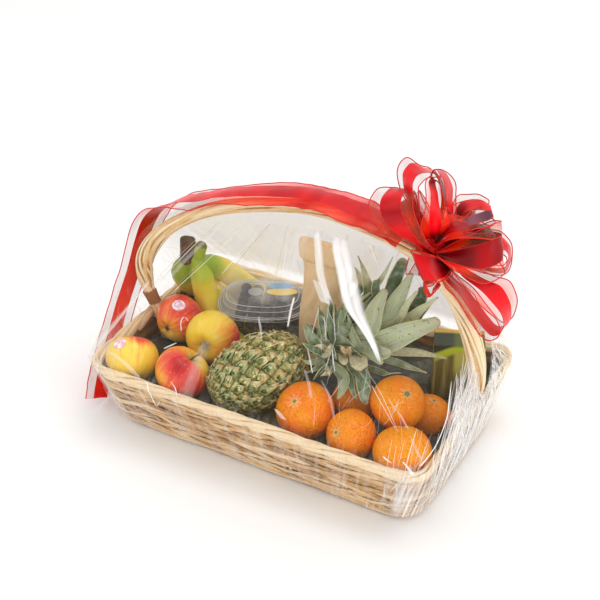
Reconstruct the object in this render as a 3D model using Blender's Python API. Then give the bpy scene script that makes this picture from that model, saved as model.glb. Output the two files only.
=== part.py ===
"""Fruit gift basket: a flared willow tray with an arched handle, filled with fruit,
wrapped in clear film and tied with a wide red ribbon and bow.

Metres, +Z up. The origin is the middle of the tray's underside. +X runs along the tray
to the end with the bow, and -Y is the front.
"""

import math
import random

import bmesh
import bpy
from mathutils import Matrix, Vector, noise

# Tray
RIM_LENGTH = 0.468
RIM_WIDTH = 0.296
RIM_HEIGHT = 0.094
RIM_CORNER = 0.030
BASE_LENGTH = 0.428
BASE_WIDTH = 0.240
BASE_CORNER = 0.035
WALL = 0.004
WALL_INSET = 0.003
BAND_HEIGHT = 0.022
BAND_THICKNESS = 0.010
FLOOR = 0.008
WEAVE_RELIEF = 0.0011
WEAVE_ROWS = 5

# Handle: its middle line in the plane y = 0, from the left foot to the right one
HANDLE_LINE = (
    (-0.2010, 0.016),
    (-0.2143, 0.084),
    (-0.2330, 0.130),
    (-0.2290, 0.175),
    (-0.1880, 0.228),
    (-0.1110, 0.276),
    (-0.0040, 0.307),
    (0.0620, 0.308),
    (0.1270, 0.295),
    (0.1790, 0.268),
    (0.2190, 0.206),
    (0.2330, 0.130),
    (0.2143, 0.084),
    (0.2010, 0.016),
)
HANDLE_RADIUS = 0.0085
LEG_BULGE = 0.0035
PINCH = 0.0023
STRANDS = 4
STRAND_RELIEF = 0.14
TWISTS = 3.0
BINDING_LOW = 0.101
BINDING_HIGH = 0.118
BINDING_THICKNESS = 0.0024

# Film
FILM = 0.0010
FILM_GAP = 0.0022
FILM_FOOT = 0.004
FILM_HANDLE_GAP = 0.0042
FILM_LEG_START = 0.128

# Ribbon and bow
RIBBON = 0.0012
RIBBON_WIDTH = 0.057
RIBBON_LIFT = 0.0195
RIBBON_SAG = 0.005
BOW_CENTRE = Vector((0.171, -0.008, 0.3095))

# The bed that the fruit lies on
BED_HEIGHT = 0.0545
GAP = 0.0003

# Fruit: name, centre, radius, direction of the stem end
APPLES = (
    ("apple_1", (-0.1780, -0.009, 0.0950), 0.0330, (-0.16, -0.98, -0.08)),
    ("apple_2", (-0.1130, -0.030, 0.101), 0.0355, (0.10, -0.99, 0.06)),
    ("apple_3", (-0.187, -0.103, 0.087), 0.0340, (-0.40, 0.20, 0.88)),
    ("apple_4", (-0.1145, -0.1005, 0.0900), 0.0355, (0.67, -0.05, 0.74)),
)
ORANGES = (
    ("orange_1", (0.053, -0.089, 0.087), 0.0360, (-0.15, -0.59, 0.80)),
    ("orange_2", (0.120, -0.099, 0.083), 0.0310, (-0.38, -0.75, 0.54)),
    ("orange_3", (0.153, -0.043, 0.105), 0.0335, (0.50, -0.26, 0.82)),
    ("orange_4", (0.187, -0.101, 0.086), 0.0345, (-0.27, 0.48, 0.83)),
    ("orange_5", (0.1755, -0.001, 0.0650), 0.0285, (0.20, 0.10, 0.97)),
    ("orange_6", (0.090, -0.032, 0.078), 0.0290, (0.00, 0.30, 0.95)),
)

# Pineapple
PINE_LOW = Vector((-0.0375, -0.0805, 0.0945))
PINE_AXIS = Vector((0.651, 0.651, 0.390)).normalized()
PINE_BODY = 0.130
PINE_RADIUS = 0.0455
PINE_EYES_ROUND = 10
PINE_EYE_ROWS = 7
PINE_EYE_RELIEF = 0.0022
CROWN_AXIS = Vector((0.80, 0.32, 0.50)).normalized()

# Punnet
PUNNET_CENTRE = Vector((-0.090, 0.056, 0.0))
PUNNET_YAW = math.radians(25)
PUNNET_HALF_LENGTH = 0.058
PUNNET_HALF_WIDTH = 0.044
PUNNET_SIDES = 18
PUNNET_SQUARE = 0.72
PUNNET_LOW = 0.0850
PUNNET_SEAM = 0.1120
PUNNET_TOP = 0.1260
PUNNET_WALL = 0.0010

# Paper bag and carton
BAG_CENTRE = Vector((0.006, 0.042, 0.0))
BAG_HALF_WIDTH = 0.031
BAG_HALF_DEPTH = 0.016
BAG_TOP = 0.234
CARTON_CENTRE = Vector((0.179, 0.074, 0.0))
CARTON_HALF_WIDTH = 0.031
CARTON_HALF_DEPTH = 0.018
CARTON_YAW = math.radians(25)
CARTON_TOP = 0.136

CORNER_STEPS = 5
LONG_STEPS = 10
SHORT_STEPS = 6


def clear_scene():
    for item in list(bpy.data.objects):
        bpy.data.objects.remove(item, do_unlink=True)


def material(name, colour, roughness):
    made = bpy.data.materials.get(name)
    if made is None:
        made = bpy.data.materials.new(name)
        made.use_nodes = True
        shader = made.node_tree.nodes["Principled BSDF"]
        shader.inputs["Base Color"].default_value = (*colour, 1.0)
        shader.inputs["Roughness"].default_value = roughness
        shader.inputs["Metallic"].default_value = 0.0
        made.diffuse_color = (*colour, 1.0)
    return made


def make_object(name, bm, finish, smooth=True):
    """Turns a bmesh into a named object with one material."""
    mesh = bpy.data.meshes.new(name)
    bm.to_mesh(mesh)
    bm.free()
    mesh.materials.append(finish)
    made = bpy.data.objects.new(name, mesh)
    bpy.context.scene.collection.objects.link(made)
    if smooth:
        mesh.shade_smooth()
    return made


def grid_surface(columns, rows, place, closed=True, capped=True):
    """A grid laid out by place(column, row); closed joins its two sides into a tube."""
    bm = bmesh.new()
    bmesh.ops.create_grid(bm, x_segments=columns, y_segments=rows, size=0.5)
    for vert in bm.verts:
        column = round((vert.co.x + 0.5) * columns)
        row = round((vert.co.y + 0.5) * rows)
        vert.co = place(column % columns if closed else column, row)
    if closed:
        bmesh.ops.remove_doubles(bm, verts=bm.verts, dist=1e-6)
    if capped:
        rims = [edge for edge in bm.edges if edge.is_boundary]
        bmesh.ops.holes_fill(bm, edges=rims, sides=0)
    bmesh.ops.recalc_face_normals(bm, faces=bm.faces)
    return bm


def thickened(name, bm, finish, thickness, smooth=True):
    """A thin sheet made solid, with both faces split into triangles alike."""
    bmesh.ops.triangulate(bm, faces=bm.faces)
    made = make_object(name, bm, finish, smooth)
    solid = made.modifiers.new("thickness", "SOLIDIFY")
    solid.thickness = thickness
    solid.offset = 0.0
    solid.use_even_offset = False
    return made


def baked_mesh(item):
    """The object's mesh with its modifiers in it."""
    bpy.context.view_layer.update()
    graph = bpy.context.evaluated_depsgraph_get()
    mesh = bpy.data.meshes.new_from_object(item.evaluated_get(graph))
    item.modifiers.clear()
    item.data = mesh
    return item


def fuse(base, pieces, solver="EXACT"):
    """Joins the pieces to the base with one Boolean union and removes them."""
    group = bpy.data.collections.new(base.name + "_pieces")
    bpy.context.scene.collection.children.link(group)
    for piece in pieces:
        group.objects.link(piece)
    union = base.modifiers.new("join", "BOOLEAN")
    union.operation = "UNION"
    union.operand_type = "COLLECTION"
    union.collection = group
    union.solver = solver
    baked_mesh(base)
    for piece in pieces:
        bpy.data.objects.remove(piece, do_unlink=True)
    bpy.data.collections.remove(group)
    return base


def aim(item, location, direction, roll=0.0):
    """Moves an object and turns its +Z axis to the direction."""
    turn = Vector(direction).normalized().to_track_quat("Z", "Y").to_matrix().to_4x4()
    item.matrix_world = Matrix.Translation(location) @ turn @ Matrix.Rotation(roll, 4, "Z")
    return item


def mix(a, b, t):
    return a + (b - a) * t


def smooth_step(low, high, value):
    t = min(max((value - low) / (high - low), 0.0), 1.0)
    return t * t * (3 - 2 * t)


def catmull(points, t):
    """A point on the smooth curve through the points, t from 0 to 1."""
    spans = len(points) - 1
    at = min(max(t, 0.0), 1.0) * spans
    i = min(int(at), spans - 1)
    f = at - i
    p0 = Vector(points[max(i - 1, 0)])
    p1 = Vector(points[i])
    p2 = Vector(points[i + 1])
    p3 = Vector(points[min(i + 2, spans)])
    return 0.5 * (
        2 * p1
        + (p2 - p0) * f
        + (2 * p0 - 5 * p1 + 4 * p2 - p3) * f * f
        + (3 * p1 - p0 - 3 * p2 + p3) * f * f * f
    )


def rounded_rectangle(half_x, half_y, radius):
    """Outline points from the middle of the right side, anticlockwise, the same count for any size."""
    flat_x = half_x - radius
    flat_y = half_y - radius
    points = [Vector((half_x, flat_y * i * 2 / SHORT_STEPS)) for i in range(SHORT_STEPS // 2)]
    corners = ((flat_x, flat_y, 0), (-flat_x, flat_y, 90), (-flat_x, -flat_y, 180), (flat_x, -flat_y, 270))
    for index, (cx, cy, start) in enumerate(corners):
        for step in range(CORNER_STEPS + 1):
            angle = math.radians(start + 90 * step / CORNER_STEPS)
            points.append(Vector((cx + radius * math.cos(angle), cy + radius * math.sin(angle))))
        following = corners[(index + 1) % 4]
        steps = LONG_STEPS if index % 2 == 0 else SHORT_STEPS
        end = Vector((following[0], following[1]))
        first = points[-1].copy()
        angle = math.radians(following[2])
        last = end + radius * Vector((math.cos(angle), math.sin(angle)))
        if index == 3:
            last = Vector((half_x, 0.0))
            steps = SHORT_STEPS // 2
        for step in range(1, steps):
            points.append(first.lerp(last, step / steps))
    return points


OUTLINE_COUNT = len(rounded_rectangle(0.2, 0.1, 0.03))


def tray_outline(z, offset=0.0):
    """The tray's outer outline at a height, moved out by the offset."""
    t = z / RIM_HEIGHT
    return rounded_rectangle(
        mix(BASE_LENGTH, RIM_LENGTH, t) / 2 + offset,
        mix(BASE_WIDTH, RIM_WIDTH, t) / 2 + offset,
        mix(BASE_CORNER, RIM_CORNER, t) + offset,
    )


def make_basket():
    wall_top = RIM_HEIGHT - BAND_HEIGHT
    rings = [(0.0, -0.005, 0), (0.0, -0.002, 0), (0.004, 0.0, 0)]
    for row in range(WEAVE_ROWS):
        z = mix(0.010, wall_top - 0.004, row / (WEAVE_ROWS - 1))
        rings.append((z, -WALL_INSET, 1 if row % 2 else -1))
    inside = -WALL_INSET - WALL
    rings += [
        (wall_top, -0.0015, 0),
        (wall_top + 0.004, 0.0, 0),
        (RIM_HEIGHT - 0.007, 0.0, 0),
        (RIM_HEIGHT - 0.001, -0.0015, 0),
        (RIM_HEIGHT, -0.005, 0),
        (RIM_HEIGHT - 0.001, -BAND_THICKNESS + 0.0015, 0),
        (RIM_HEIGHT - 0.008, -BAND_THICKNESS, 0),
        (wall_top, inside, 0),
        (FLOOR, inside, 0),
    ]
    outlines = [tray_outline(z, offset) for z, offset, weave in rings]

    def place(column, row):
        z, offset, weave = rings[row]
        point = outlines[row][column].copy()
        if weave:
            side = 1 if (column // 2) % 2 else -1
            point += point.normalized() * (WEAVE_RELIEF * side * weave)
        return Vector((point.x, point.y, z))

    bm = grid_surface(OUTLINE_COUNT, len(rings) - 1, place)
    return make_object("basket", bm, material("willow", (0.72, 0.53, 0.32), 0.6))


def handle_point(t):
    """The handle's middle line, its direction outwards from the arch and its radius."""
    here = catmull(HANDLE_LINE, t)
    step = 0.002
    along = (catmull(HANDLE_LINE, min(t + step, 1)) - catmull(HANDLE_LINE, max(t - step, 0))).normalized()
    outward = Vector((-along.y, along.x))
    side = min(t, 1 - t)
    bulge = smooth_step(0.13, 0.20, side) * (1 - smooth_step(0.24, 0.36, side))
    pinch = 1 - smooth_step(0.11, 0.17, side)
    return here, outward, HANDLE_RADIUS + LEG_BULGE * bulge - PINCH * pinch


def handle_height_share(height, left):
    """The share of the handle's length at which a leg reaches a height."""
    low, high = (0.0, 0.4) if left else (1.0, 0.6)
    for _ in range(30):
        middle = (low + high) / 2
        if handle_point(middle)[0].y < height:
            low = middle
        else:
            high = middle
    return (low + high) / 2


def handle_x_share(x):
    """The share of the handle's length at which its upper part passes over x."""
    low, high = 0.30, 0.74
    for _ in range(30):
        middle = (low + high) / 2
        if handle_point(middle)[0].x < x:
            low = middle
        else:
            high = middle
    return (low + high) / 2


def make_handle():
    sides = STRANDS * 2
    rows = 46
    calm = (BINDING_LOW - 0.006, BINDING_HIGH + 0.012)

    def place(column, row):
        t = row / rows
        here, outward, radius = handle_point(t)
        angle = 2 * math.pi * column / sides
        relief = STRAND_RELIEF
        if here.y < calm[1]:
            relief = 0.02
        lobe = relief if column % 2 else -relief
        angle += TWISTS * 2 * math.pi * t
        reach = radius * (1 + lobe)
        side = outward * (reach * math.cos(angle))
        return Vector((here.x + side.x, reach * math.sin(angle), here.y + side.y))

    bm = grid_surface(sides, rows, place)
    return make_object("handle", bm, material("straw", (0.78, 0.60, 0.36), 0.55))


def make_binding(name, left):
    """Reed wound round a leg just above the rim."""
    low = handle_height_share(BINDING_LOW, left)
    high = handle_height_share(BINDING_HIGH, left)
    sides = 10
    turns = 5
    rows = turns * 2 + 4

    def place(column, row):
        if row <= turns * 2:
            share = row / (turns * 2)
            thick = BINDING_THICKNESS * (1.0 if row % 2 else 0.7)
        else:
            share = 1 - (row - turns * 2 - 1) / 3
            thick = 0.0
        here, outward, radius = handle_point(mix(low, high, share))
        reach = radius * 1.10 + GAP + thick
        angle = 2 * math.pi * column / sides
        side = outward * (reach * math.cos(angle))
        return Vector((here.x + side.x, reach * math.sin(angle), here.y + side.y))

    bm = bmesh.new()
    bmesh.ops.create_grid(bm, x_segments=sides, y_segments=rows + 1, size=0.5)
    for vert in bm.verts:
        column = round((vert.co.x + 0.5) * sides) % sides
        row = round((vert.co.y + 0.5) * (rows + 1)) % (rows + 1)
        vert.co = place(column, row)
    bmesh.ops.remove_doubles(bm, verts=bm.verts, dist=1e-6)
    bmesh.ops.recalc_face_normals(bm, faces=bm.faces)
    return make_object(name, bm, material("reed", (0.42, 0.20, 0.10), 0.5))


def film_partner(point):
    """The share along the handle that the film above a rim point is drawn up to."""
    half = RIM_LENGTH / 2
    straight = half - RIM_CORNER
    left = point.x < 0
    leg = handle_height_share(FILM_LEG_START, left)
    edge = handle_x_share(-straight * 0.97 if left else straight * 0.97)
    if abs(point.x) <= straight:
        return handle_x_share(point.x * 0.97)
    corner = math.pi / 2 * RIM_CORNER
    past = RIM_WIDTH / 2 - abs(point.y)
    if abs(point.y) > RIM_WIDTH / 2 - RIM_CORNER:
        angle = math.asin(min((abs(point.x) - straight) / RIM_CORNER, 1.0))
        run = angle * RIM_CORNER
    else:
        run = corner + past - RIM_CORNER
    whole = corner + RIM_WIDTH / 2 - RIM_CORNER
    return mix(edge, leg, run / whole)


def film_ridge(t):
    """The height-wise offset of the film over the handle: point, outward direction, reach."""
    here, outward, radius = handle_point(t)
    return here, outward, radius * (1 + STRAND_RELIEF) + FILM_HANDLE_GAP


FILM_TENT_ROWS = 3


def make_film():
    wall_rows = ((FILM_FOOT, 0.0), (RIM_HEIGHT - 0.014, 0.0), (RIM_HEIGHT - 0.002, 0.0))
    outlines = [tray_outline(z, FILM_GAP) for z, extra in wall_rows]
    rim = tray_outline(RIM_HEIGHT, 0.0)
    shoulder = tray_outline(RIM_HEIGHT, FILM_GAP - 0.001)
    shares = [film_partner(point) for point in rim]
    last = len(wall_rows)
    rows = last + FILM_TENT_ROWS + 1

    def place(column, row):
        if row < last:
            point = outlines[row][column]
            return Vector((point.x, point.y, wall_rows[row][0]))
        base = Vector((shoulder[column].x, shoulder[column].y, RIM_HEIGHT + FILM_GAP))
        here, outward, reach = film_ridge(shares[column])
        side = max(min(rim[column].y, reach), -reach)
        eave = here + outward * (reach * mix(1.15, 0.55, abs(side) / reach))
        eave = Vector((eave.x, side, eave.y))
        if row == rows:
            top = here + outward * (reach * 1.15)
            return Vector((top.x, 0.0, top.y))
        return base.lerp(eave, (row - last) / FILM_TENT_ROWS)

    bm = grid_surface(OUTLINE_COUNT, rows, place, capped=False)
    bmesh.ops.remove_doubles(bm, verts=bm.verts, dist=0.0004)
    bmesh.ops.dissolve_degenerate(bm, edges=bm.edges, dist=1e-5)
    bmesh.ops.recalc_face_normals(bm, faces=bm.faces)
    return thickened("film", bm, material("clear_film", (0.85, 0.86, 0.85), 0.08), FILM)


def capsule_low(x, y, start, end, r0, r1, steps=8):
    """The underside of a row of balls between two points, or None beside them."""
    lowest = None
    for i in range(steps + 1):
        t = i / steps
        centre = start.lerp(end, t)
        radius = mix(r0, r1, t)
        flat = (x - centre.x) ** 2 + (y - centre.y) ** 2
        if flat < radius * radius:
            z = centre.z - math.sqrt(radius * radius - flat)
            lowest = z if lowest is None else min(lowest, z)
    return lowest


def bed_height(x, y, balls):
    """The bed's top: uneven, and pressed down where fruit lies in it."""
    z = BED_HEIGHT - 0.004 * (0.5 + 0.5 * noise.noise(Vector((x * 45, y * 45, 0.3))))
    for start, end, r0, r1 in balls:
        under = capsule_low(x, y, start, end, r0 + 0.007, r1 + 0.007)
        if under is not None:
            z = min(z, under)
    return max(z, FLOOR + 0.006)


def fruit_balls():
    balls = []
    for name, centre, radius, axis in APPLES + ORANGES:
        point = Vector(centre)
        balls.append((point, point, radius, radius))
    top = PINE_LOW + PINE_AXIS * (PINE_BODY - 2 * PINE_RADIUS)
    balls.append((PINE_LOW, top, PINE_RADIUS, PINE_RADIUS))
    for points, radius in BANANAS:
        for a, b in zip(points[1:-1], points[2:]):
            balls.append((Vector(a), Vector(b), radius, radius))
    return balls


def make_bed():
    """The dark lining under the fruit, out to the tray's inner wall and round the handle's feet."""
    balls = fruit_balls()
    inside = -WALL_INSET - WALL - 2 * GAP
    leg_room = abs(HANDLE_LINE[0][0]) - HANDLE_RADIUS - 0.004
    leg_side = HANDLE_RADIUS + 0.004
    low = FLOOR + GAP
    outlines = {}
    for z in (low, BED_HEIGHT - 0.006):
        outline = tray_outline(z, inside)
        for point in outline:
            near = 1 - smooth_step(leg_side, leg_side + 0.012, abs(point.y))
            limit = mix(abs(point.x), min(abs(point.x), leg_room), near)
            point.x = math.copysign(limit, point.x)
        outlines[z] = outline
    rings = 5
    top_z = BED_HEIGHT - 0.006

    def place(column, row):
        if row <= rings:
            scale = 0.06 + 0.94 * row / rings
            point = outlines[top_z][column] * scale
            height = bed_height(point.x, point.y, balls)
            if row == rings:
                height = min(height, top_z)
            return Vector((point.x, point.y, height))
        if row == rings + 1:
            point = outlines[low][column]
            return Vector((point.x, point.y, low))
        point = outlines[low][column] * 0.3
        return Vector((point.x, point.y, low))

    bm = grid_surface(OUTLINE_COUNT, rings + 2, place)
    return make_object("lining", bm, material("dark_lining", (0.10, 0.13, 0.12), 0.5))


def make_apple(name, centre, radius, axis):
    bm = bmesh.new()
    bmesh.ops.create_uvsphere(bm, u_segments=12, v_segments=9, radius=1.0)
    for vert in bm.verts:
        polar = math.acos(max(-1, min(1, vert.co.z)))
        turn = math.atan2(vert.co.y, vert.co.x)
        flat = math.sin(polar) * (1 + 0.05 * math.cos(polar))
        flat *= 1 + 0.02 * math.cos(5 * turn) * smooth_step(1.6, 3.0, polar)
        z = 0.88 * math.cos(polar)
        z -= 0.26 * math.exp(-((polar / 0.40) ** 2))
        z += 0.16 * math.exp(-(((math.pi - polar) / 0.36) ** 2))
        vert.co = Vector((flat * math.cos(turn), flat * math.sin(turn), z)) * radius * 0.985
    made = make_object(name, bm, material("apple_skin", (0.75, 0.20, 0.12), 0.35))
    return aim(made, centre, axis)


def make_orange(name, centre, radius, axis):
    bm = bmesh.new()
    bmesh.ops.create_uvsphere(bm, u_segments=12, v_segments=9, radius=1.0)
    for vert in bm.verts:
        polar = math.acos(max(-1, min(1, vert.co.z)))
        squash = 0.90 - 0.05 * math.exp(-((polar / 0.3) ** 2))
        vert.co = Vector((vert.co.x, vert.co.y, vert.co.z * squash)) * radius
    made = make_object(name, bm, material("orange_peel", (0.95, 0.42, 0.03), 0.4))
    return aim(made, centre, axis)


# Bananas: the middle line of each finger from the shared stem, and its radius
BANANA_STEM = (-0.190, 0.040, 0.165)
BANANAS = (
    (
        (BANANA_STEM, (-0.176, 0.052, 0.146), (-0.166, 0.084, 0.122), (-0.142, 0.108, 0.088), (-0.090, 0.112, 0.068)),
        0.0150,
    ),
    (
        (BANANA_STEM, (-0.175, 0.041, 0.142), (-0.166, 0.040, 0.104), (-0.134, 0.024, 0.0665), (-0.070, 0.015, 0.0650)),
        0.0150,
    ),
    (
        (BANANA_STEM, (-0.203, 0.040, 0.140), (-0.206, 0.056, 0.108), (-0.192, 0.088, 0.080), (-0.150, 0.108, 0.066)),
        0.0145,
    ),
    (
        (BANANA_STEM, (-0.186, 0.048, 0.138), (-0.176, 0.062, 0.104), (-0.140, 0.066, 0.070), (-0.080, 0.062, 0.067)),
        0.0145,
    ),
)


def banana_radius(t, radius):
    """Thin at the stem, full in the middle, and a blunt dark tip."""
    neck = smooth_step(0.05, 0.34, t)
    tip = smooth_step(0.80, 1.0, t)
    return mix(0.0058, radius, neck) * mix(1.0, 0.30, tip)


def make_banana(name, points, radius):
    sides = 6
    rows = 10

    def place(column, row):
        t = row / rows
        here = catmull(points, t)
        ahead = catmull(points, min(t + 0.02, 1)) - catmull(points, max(t - 0.02, 0))
        turn = ahead.normalized().to_track_quat("Z", "Y").to_matrix()
        angle = 2 * math.pi * column / sides
        reach = banana_radius(t, radius)
        return here + turn @ Vector((reach * math.cos(angle), reach * math.sin(angle), 0.0))

    bm = grid_surface(sides, rows, place)
    return make_object(name, bm, material("banana_skin", (0.90, 0.72, 0.08), 0.4))


def make_bananas():
    """The hand: its fingers fused to one cut stem."""
    fingers = []
    for index, (points, radius) in enumerate(BANANAS):
        fingers.append(make_banana(f"finger_{index}", points, radius))
    bm = bmesh.new()
    bmesh.ops.create_cone(
        bm, cap_ends=True, segments=9, radius1=0.0115, radius2=0.0085, depth=0.030
    )
    stem = make_object("banana_bunch", bm, material("banana_skin", (0.90, 0.72, 0.08), 0.4))
    aim(stem, Vector(BANANA_STEM) + Vector((0.0, -0.002, 0.004)), (0.10, -0.10, 0.99))
    return fuse(stem, fingers, "MANIFOLD")


def pineapple_profile(t):
    """The body's radius from its foot to its top."""
    swell = math.sin(math.pi * min(max(t, 0.0), 1.0)) ** 0.42
    return PINE_RADIUS * swell * mix(1.0, 0.93, t)


def make_pineapple():
    columns = PINE_EYES_ROUND * 2
    rows = PINE_EYE_ROWS * 2

    def place(column, row):
        t = row / rows
        round_t = 0.5 - 0.5 * math.cos(math.pi * mix(0.055, 0.945, t))
        eye = 1 if (column + row) % 2 else -1
        reach = pineapple_profile(round_t) - PINE_EYE_RELIEF * (0.5 - 0.5 * eye)
        angle = 2 * math.pi * column / columns
        return Vector((reach * math.cos(angle), reach * math.sin(angle), PINE_BODY * round_t))

    bm = grid_surface(columns, rows, place)
    made = make_object("pineapple", bm, material("pineapple_rind", (0.50, 0.42, 0.16), 0.6))
    return aim(made, PINE_LOW - PINE_AXIS * PINE_RADIUS, PINE_AXIS)


# Crown leaves: where each tip is, and the leaf's width
CROWN_LEAVES = (
    ((0.030, 0.004, 0.186), 0.020),
    ((0.064, 0.020, 0.244), 0.026),
    ((0.078, -0.014, 0.250), 0.026),
    ((0.110, 0.022, 0.254), 0.028),
    ((0.145, -0.008, 0.264), 0.028),
    ((0.146, 0.034, 0.212), 0.026),
    ((0.184, -0.012, 0.212), 0.030),
    ((0.190, -0.036, 0.182), 0.028),
    ((0.174, 0.004, 0.158), 0.026),
    ((0.160, -0.056, 0.160), 0.024),
    ((0.118, -0.066, 0.158), 0.022),
    ((0.070, -0.066, 0.158), 0.020),
    ((0.098, -0.072, 0.122), 0.020),
    ((0.092, 0.018, 0.160), 0.022),
)
CROWN_CORE = 0.050
CROWN_WAIST = 0.0175
LEAF_ROWS = 3


def crown_leaf(name, base, tip, width):
    """One leaf: a thin channelled strip that leaves along the crown and bends out to its tip."""
    bend = base + CROWN_AXIS * ((tip - base).length * 0.42) + (tip - base) * 0.16
    side = (tip - base).cross(CROWN_AXIS).normalized()
    bm = bmesh.new()
    bmesh.ops.create_grid(bm, x_segments=2, y_segments=LEAF_ROWS, size=0.5)
    for vert in bm.verts:
        u = vert.co.x * 2
        t = vert.co.y + 0.5
        centre = base.lerp(bend, t).lerp(bend.lerp(tip, t), t)
        ahead = (bend - base).lerp(tip - bend, t).normalized()
        lift = ahead.cross(side)
        half = width / 2 * (1 - t) ** 0.6 * mix(0.30, 1.0, smooth_step(0, 0.4, t)) + 0.0008
        vert.co = clear_of_neighbours(centre + side * (half * u) + lift * (0.25 * half * u * u))
    return thickened(name, bm, material("crown_leaf", (0.26, 0.34, 0.22), 0.5), 0.0014)


CROWN_BASE = PINE_LOW + PINE_AXIS * (PINE_BODY - PINE_RADIUS + 0.0005)


def under_film(point, margin=0.006):
    """The same point, lowered if need be to stay under the slope of the film."""
    x = min(max(point.x, -0.2), 0.2)
    share = handle_x_share(x)
    ridge = handle_point(share)[0].y
    half = RIM_WIDTH / 2
    slope = (half - abs(point.y)) / half
    ceiling = mix(RIM_HEIGHT, ridge, min(max(slope, 0.0), 1.0)) - margin
    if abs(point.y) < HANDLE_RADIUS + 0.006:
        ceiling = min(ceiling, ridge - HANDLE_RADIUS * (1 + STRAND_RELIEF) - margin)
    return Vector((point.x, point.y, min(point.z, ceiling)))


def make_crown():
    """The pineapple's crown: a short core with its leaves fused on."""
    core = bmesh.new()
    bmesh.ops.create_uvsphere(core, u_segments=8, v_segments=6, radius=1.0)
    bmesh.ops.scale(core, vec=(CROWN_WAIST, CROWN_WAIST, CROWN_CORE / 2), verts=core.verts)
    crown = make_object("pineapple_crown", core, material("crown_leaf", (0.26, 0.34, 0.22), 0.5))
    aim(crown, CROWN_BASE + CROWN_AXIS * (CROWN_CORE / 2 + 0.001), CROWN_AXIS)
    bpy.context.view_layer.update()
    leaves = []
    for index, (tip, width) in enumerate(CROWN_LEAVES):
        tip = Vector(tip)
        away = (tip - CROWN_BASE).normalized()
        height = mix(0.012, CROWN_CORE - 0.010, smooth_step(0.55, 1.0, away.dot(CROWN_AXIS)))
        base = CROWN_BASE + CROWN_AXIS * height
        leaves.append(baked_mesh(crown_leaf(f"leaf_{index}", base, tip, width)))
    return fuse(crown, leaves, "MANIFOLD")


def push_from_ball(point, centre, reach):
    away = point - centre
    if away.length < reach:
        return centre + away.normalized() * reach
    return point


def clear_of_neighbours(point):
    """Keeps a leaf's point under the film and off the fruit, bag and carton beside it."""
    for name, centre, radius, axis in ORANGES:
        point = push_from_ball(point, Vector(centre), radius + 0.003)
    if point.x < BAG_CENTRE.x + BAG_HALF_WIDTH + 0.006:
        point.y = min(point.y, BAG_CENTRE.y - BAG_HALF_DEPTH - 0.004)
    turn = Matrix.Rotation(-CARTON_YAW, 3, "Z")
    local = turn @ (point - CARTON_CENTRE)
    if abs(local.x) < CARTON_HALF_WIDTH + 0.006 and local.y > -CARTON_HALF_DEPTH - 0.004:
        if point.z < CARTON_TOP + 0.004:
            local.y = -CARTON_HALF_DEPTH - 0.004
            point = turn.inverted() @ local + CARTON_CENTRE
    point.x = min(point.x, 0.196)
    point.z = max(point.z, BED_HEIGHT + 0.004)
    return under_film(point)


def punnet_outline(shrink, lift):
    """The punnet's rounded outline at a height, drawn in from its rim."""
    half_x = PUNNET_HALF_LENGTH - shrink
    half_y = PUNNET_HALF_WIDTH - shrink
    turn = Matrix.Rotation(PUNNET_YAW, 3, "Z")
    points = []
    for step in range(PUNNET_SIDES):
        angle = 2 * math.pi * step / PUNNET_SIDES
        c, s = math.cos(angle), math.sin(angle)
        x = math.copysign(abs(c) ** PUNNET_SQUARE, c) * half_x
        y = math.copysign(abs(s) ** PUNNET_SQUARE, s) * half_y
        points.append(turn @ Vector((x, y, 0.0)) + PUNNET_CENTRE + Vector((0, 0, lift)))
    return points


def punnet_shell(name, levels):
    """A thin open shell from the outlines at the levels: (shrink, height)."""
    rings = [punnet_outline(shrink, z) for shrink, z in levels]
    count = len(rings[0])
    bm = grid_surface(count, len(rings) - 1, lambda column, row: rings[row][column])
    return make_object(name, bm, material("clear_plastic", (0.80, 0.82, 0.82), 0.1))


def make_punnet():
    wall = PUNNET_WALL
    tray = punnet_shell(
        "punnet_tray",
        (
            (0.020, PUNNET_LOW),
            (0.009, PUNNET_LOW),
            (0.006, PUNNET_LOW + 0.004),
            (0.004, PUNNET_SEAM - 0.003),
            (0.0, PUNNET_SEAM - 0.0025),
            (0.0, PUNNET_SEAM - 0.0005),
            (0.004 + wall, PUNNET_SEAM - 0.0005),
            (0.006 + wall, PUNNET_LOW + 0.004 + wall),
            (0.009 + wall, PUNNET_LOW + wall),
            (0.020, PUNNET_LOW + wall),
        ),
    )
    lid = punnet_shell(
        "punnet_lid",
        (
            (0.020, PUNNET_TOP - wall),
            (0.012 + wall, PUNNET_TOP - wall),
            (0.007 + wall, PUNNET_TOP - 0.006),
            (0.005 + wall, PUNNET_SEAM),
            (0.0, PUNNET_SEAM),
            (0.0, PUNNET_SEAM + 0.002),
            (0.005, PUNNET_SEAM + 0.003),
            (0.007, PUNNET_TOP - 0.005),
            (0.012, PUNNET_TOP),
            (0.020, PUNNET_TOP),
        ),
    )
    return [tray, lid]


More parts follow.
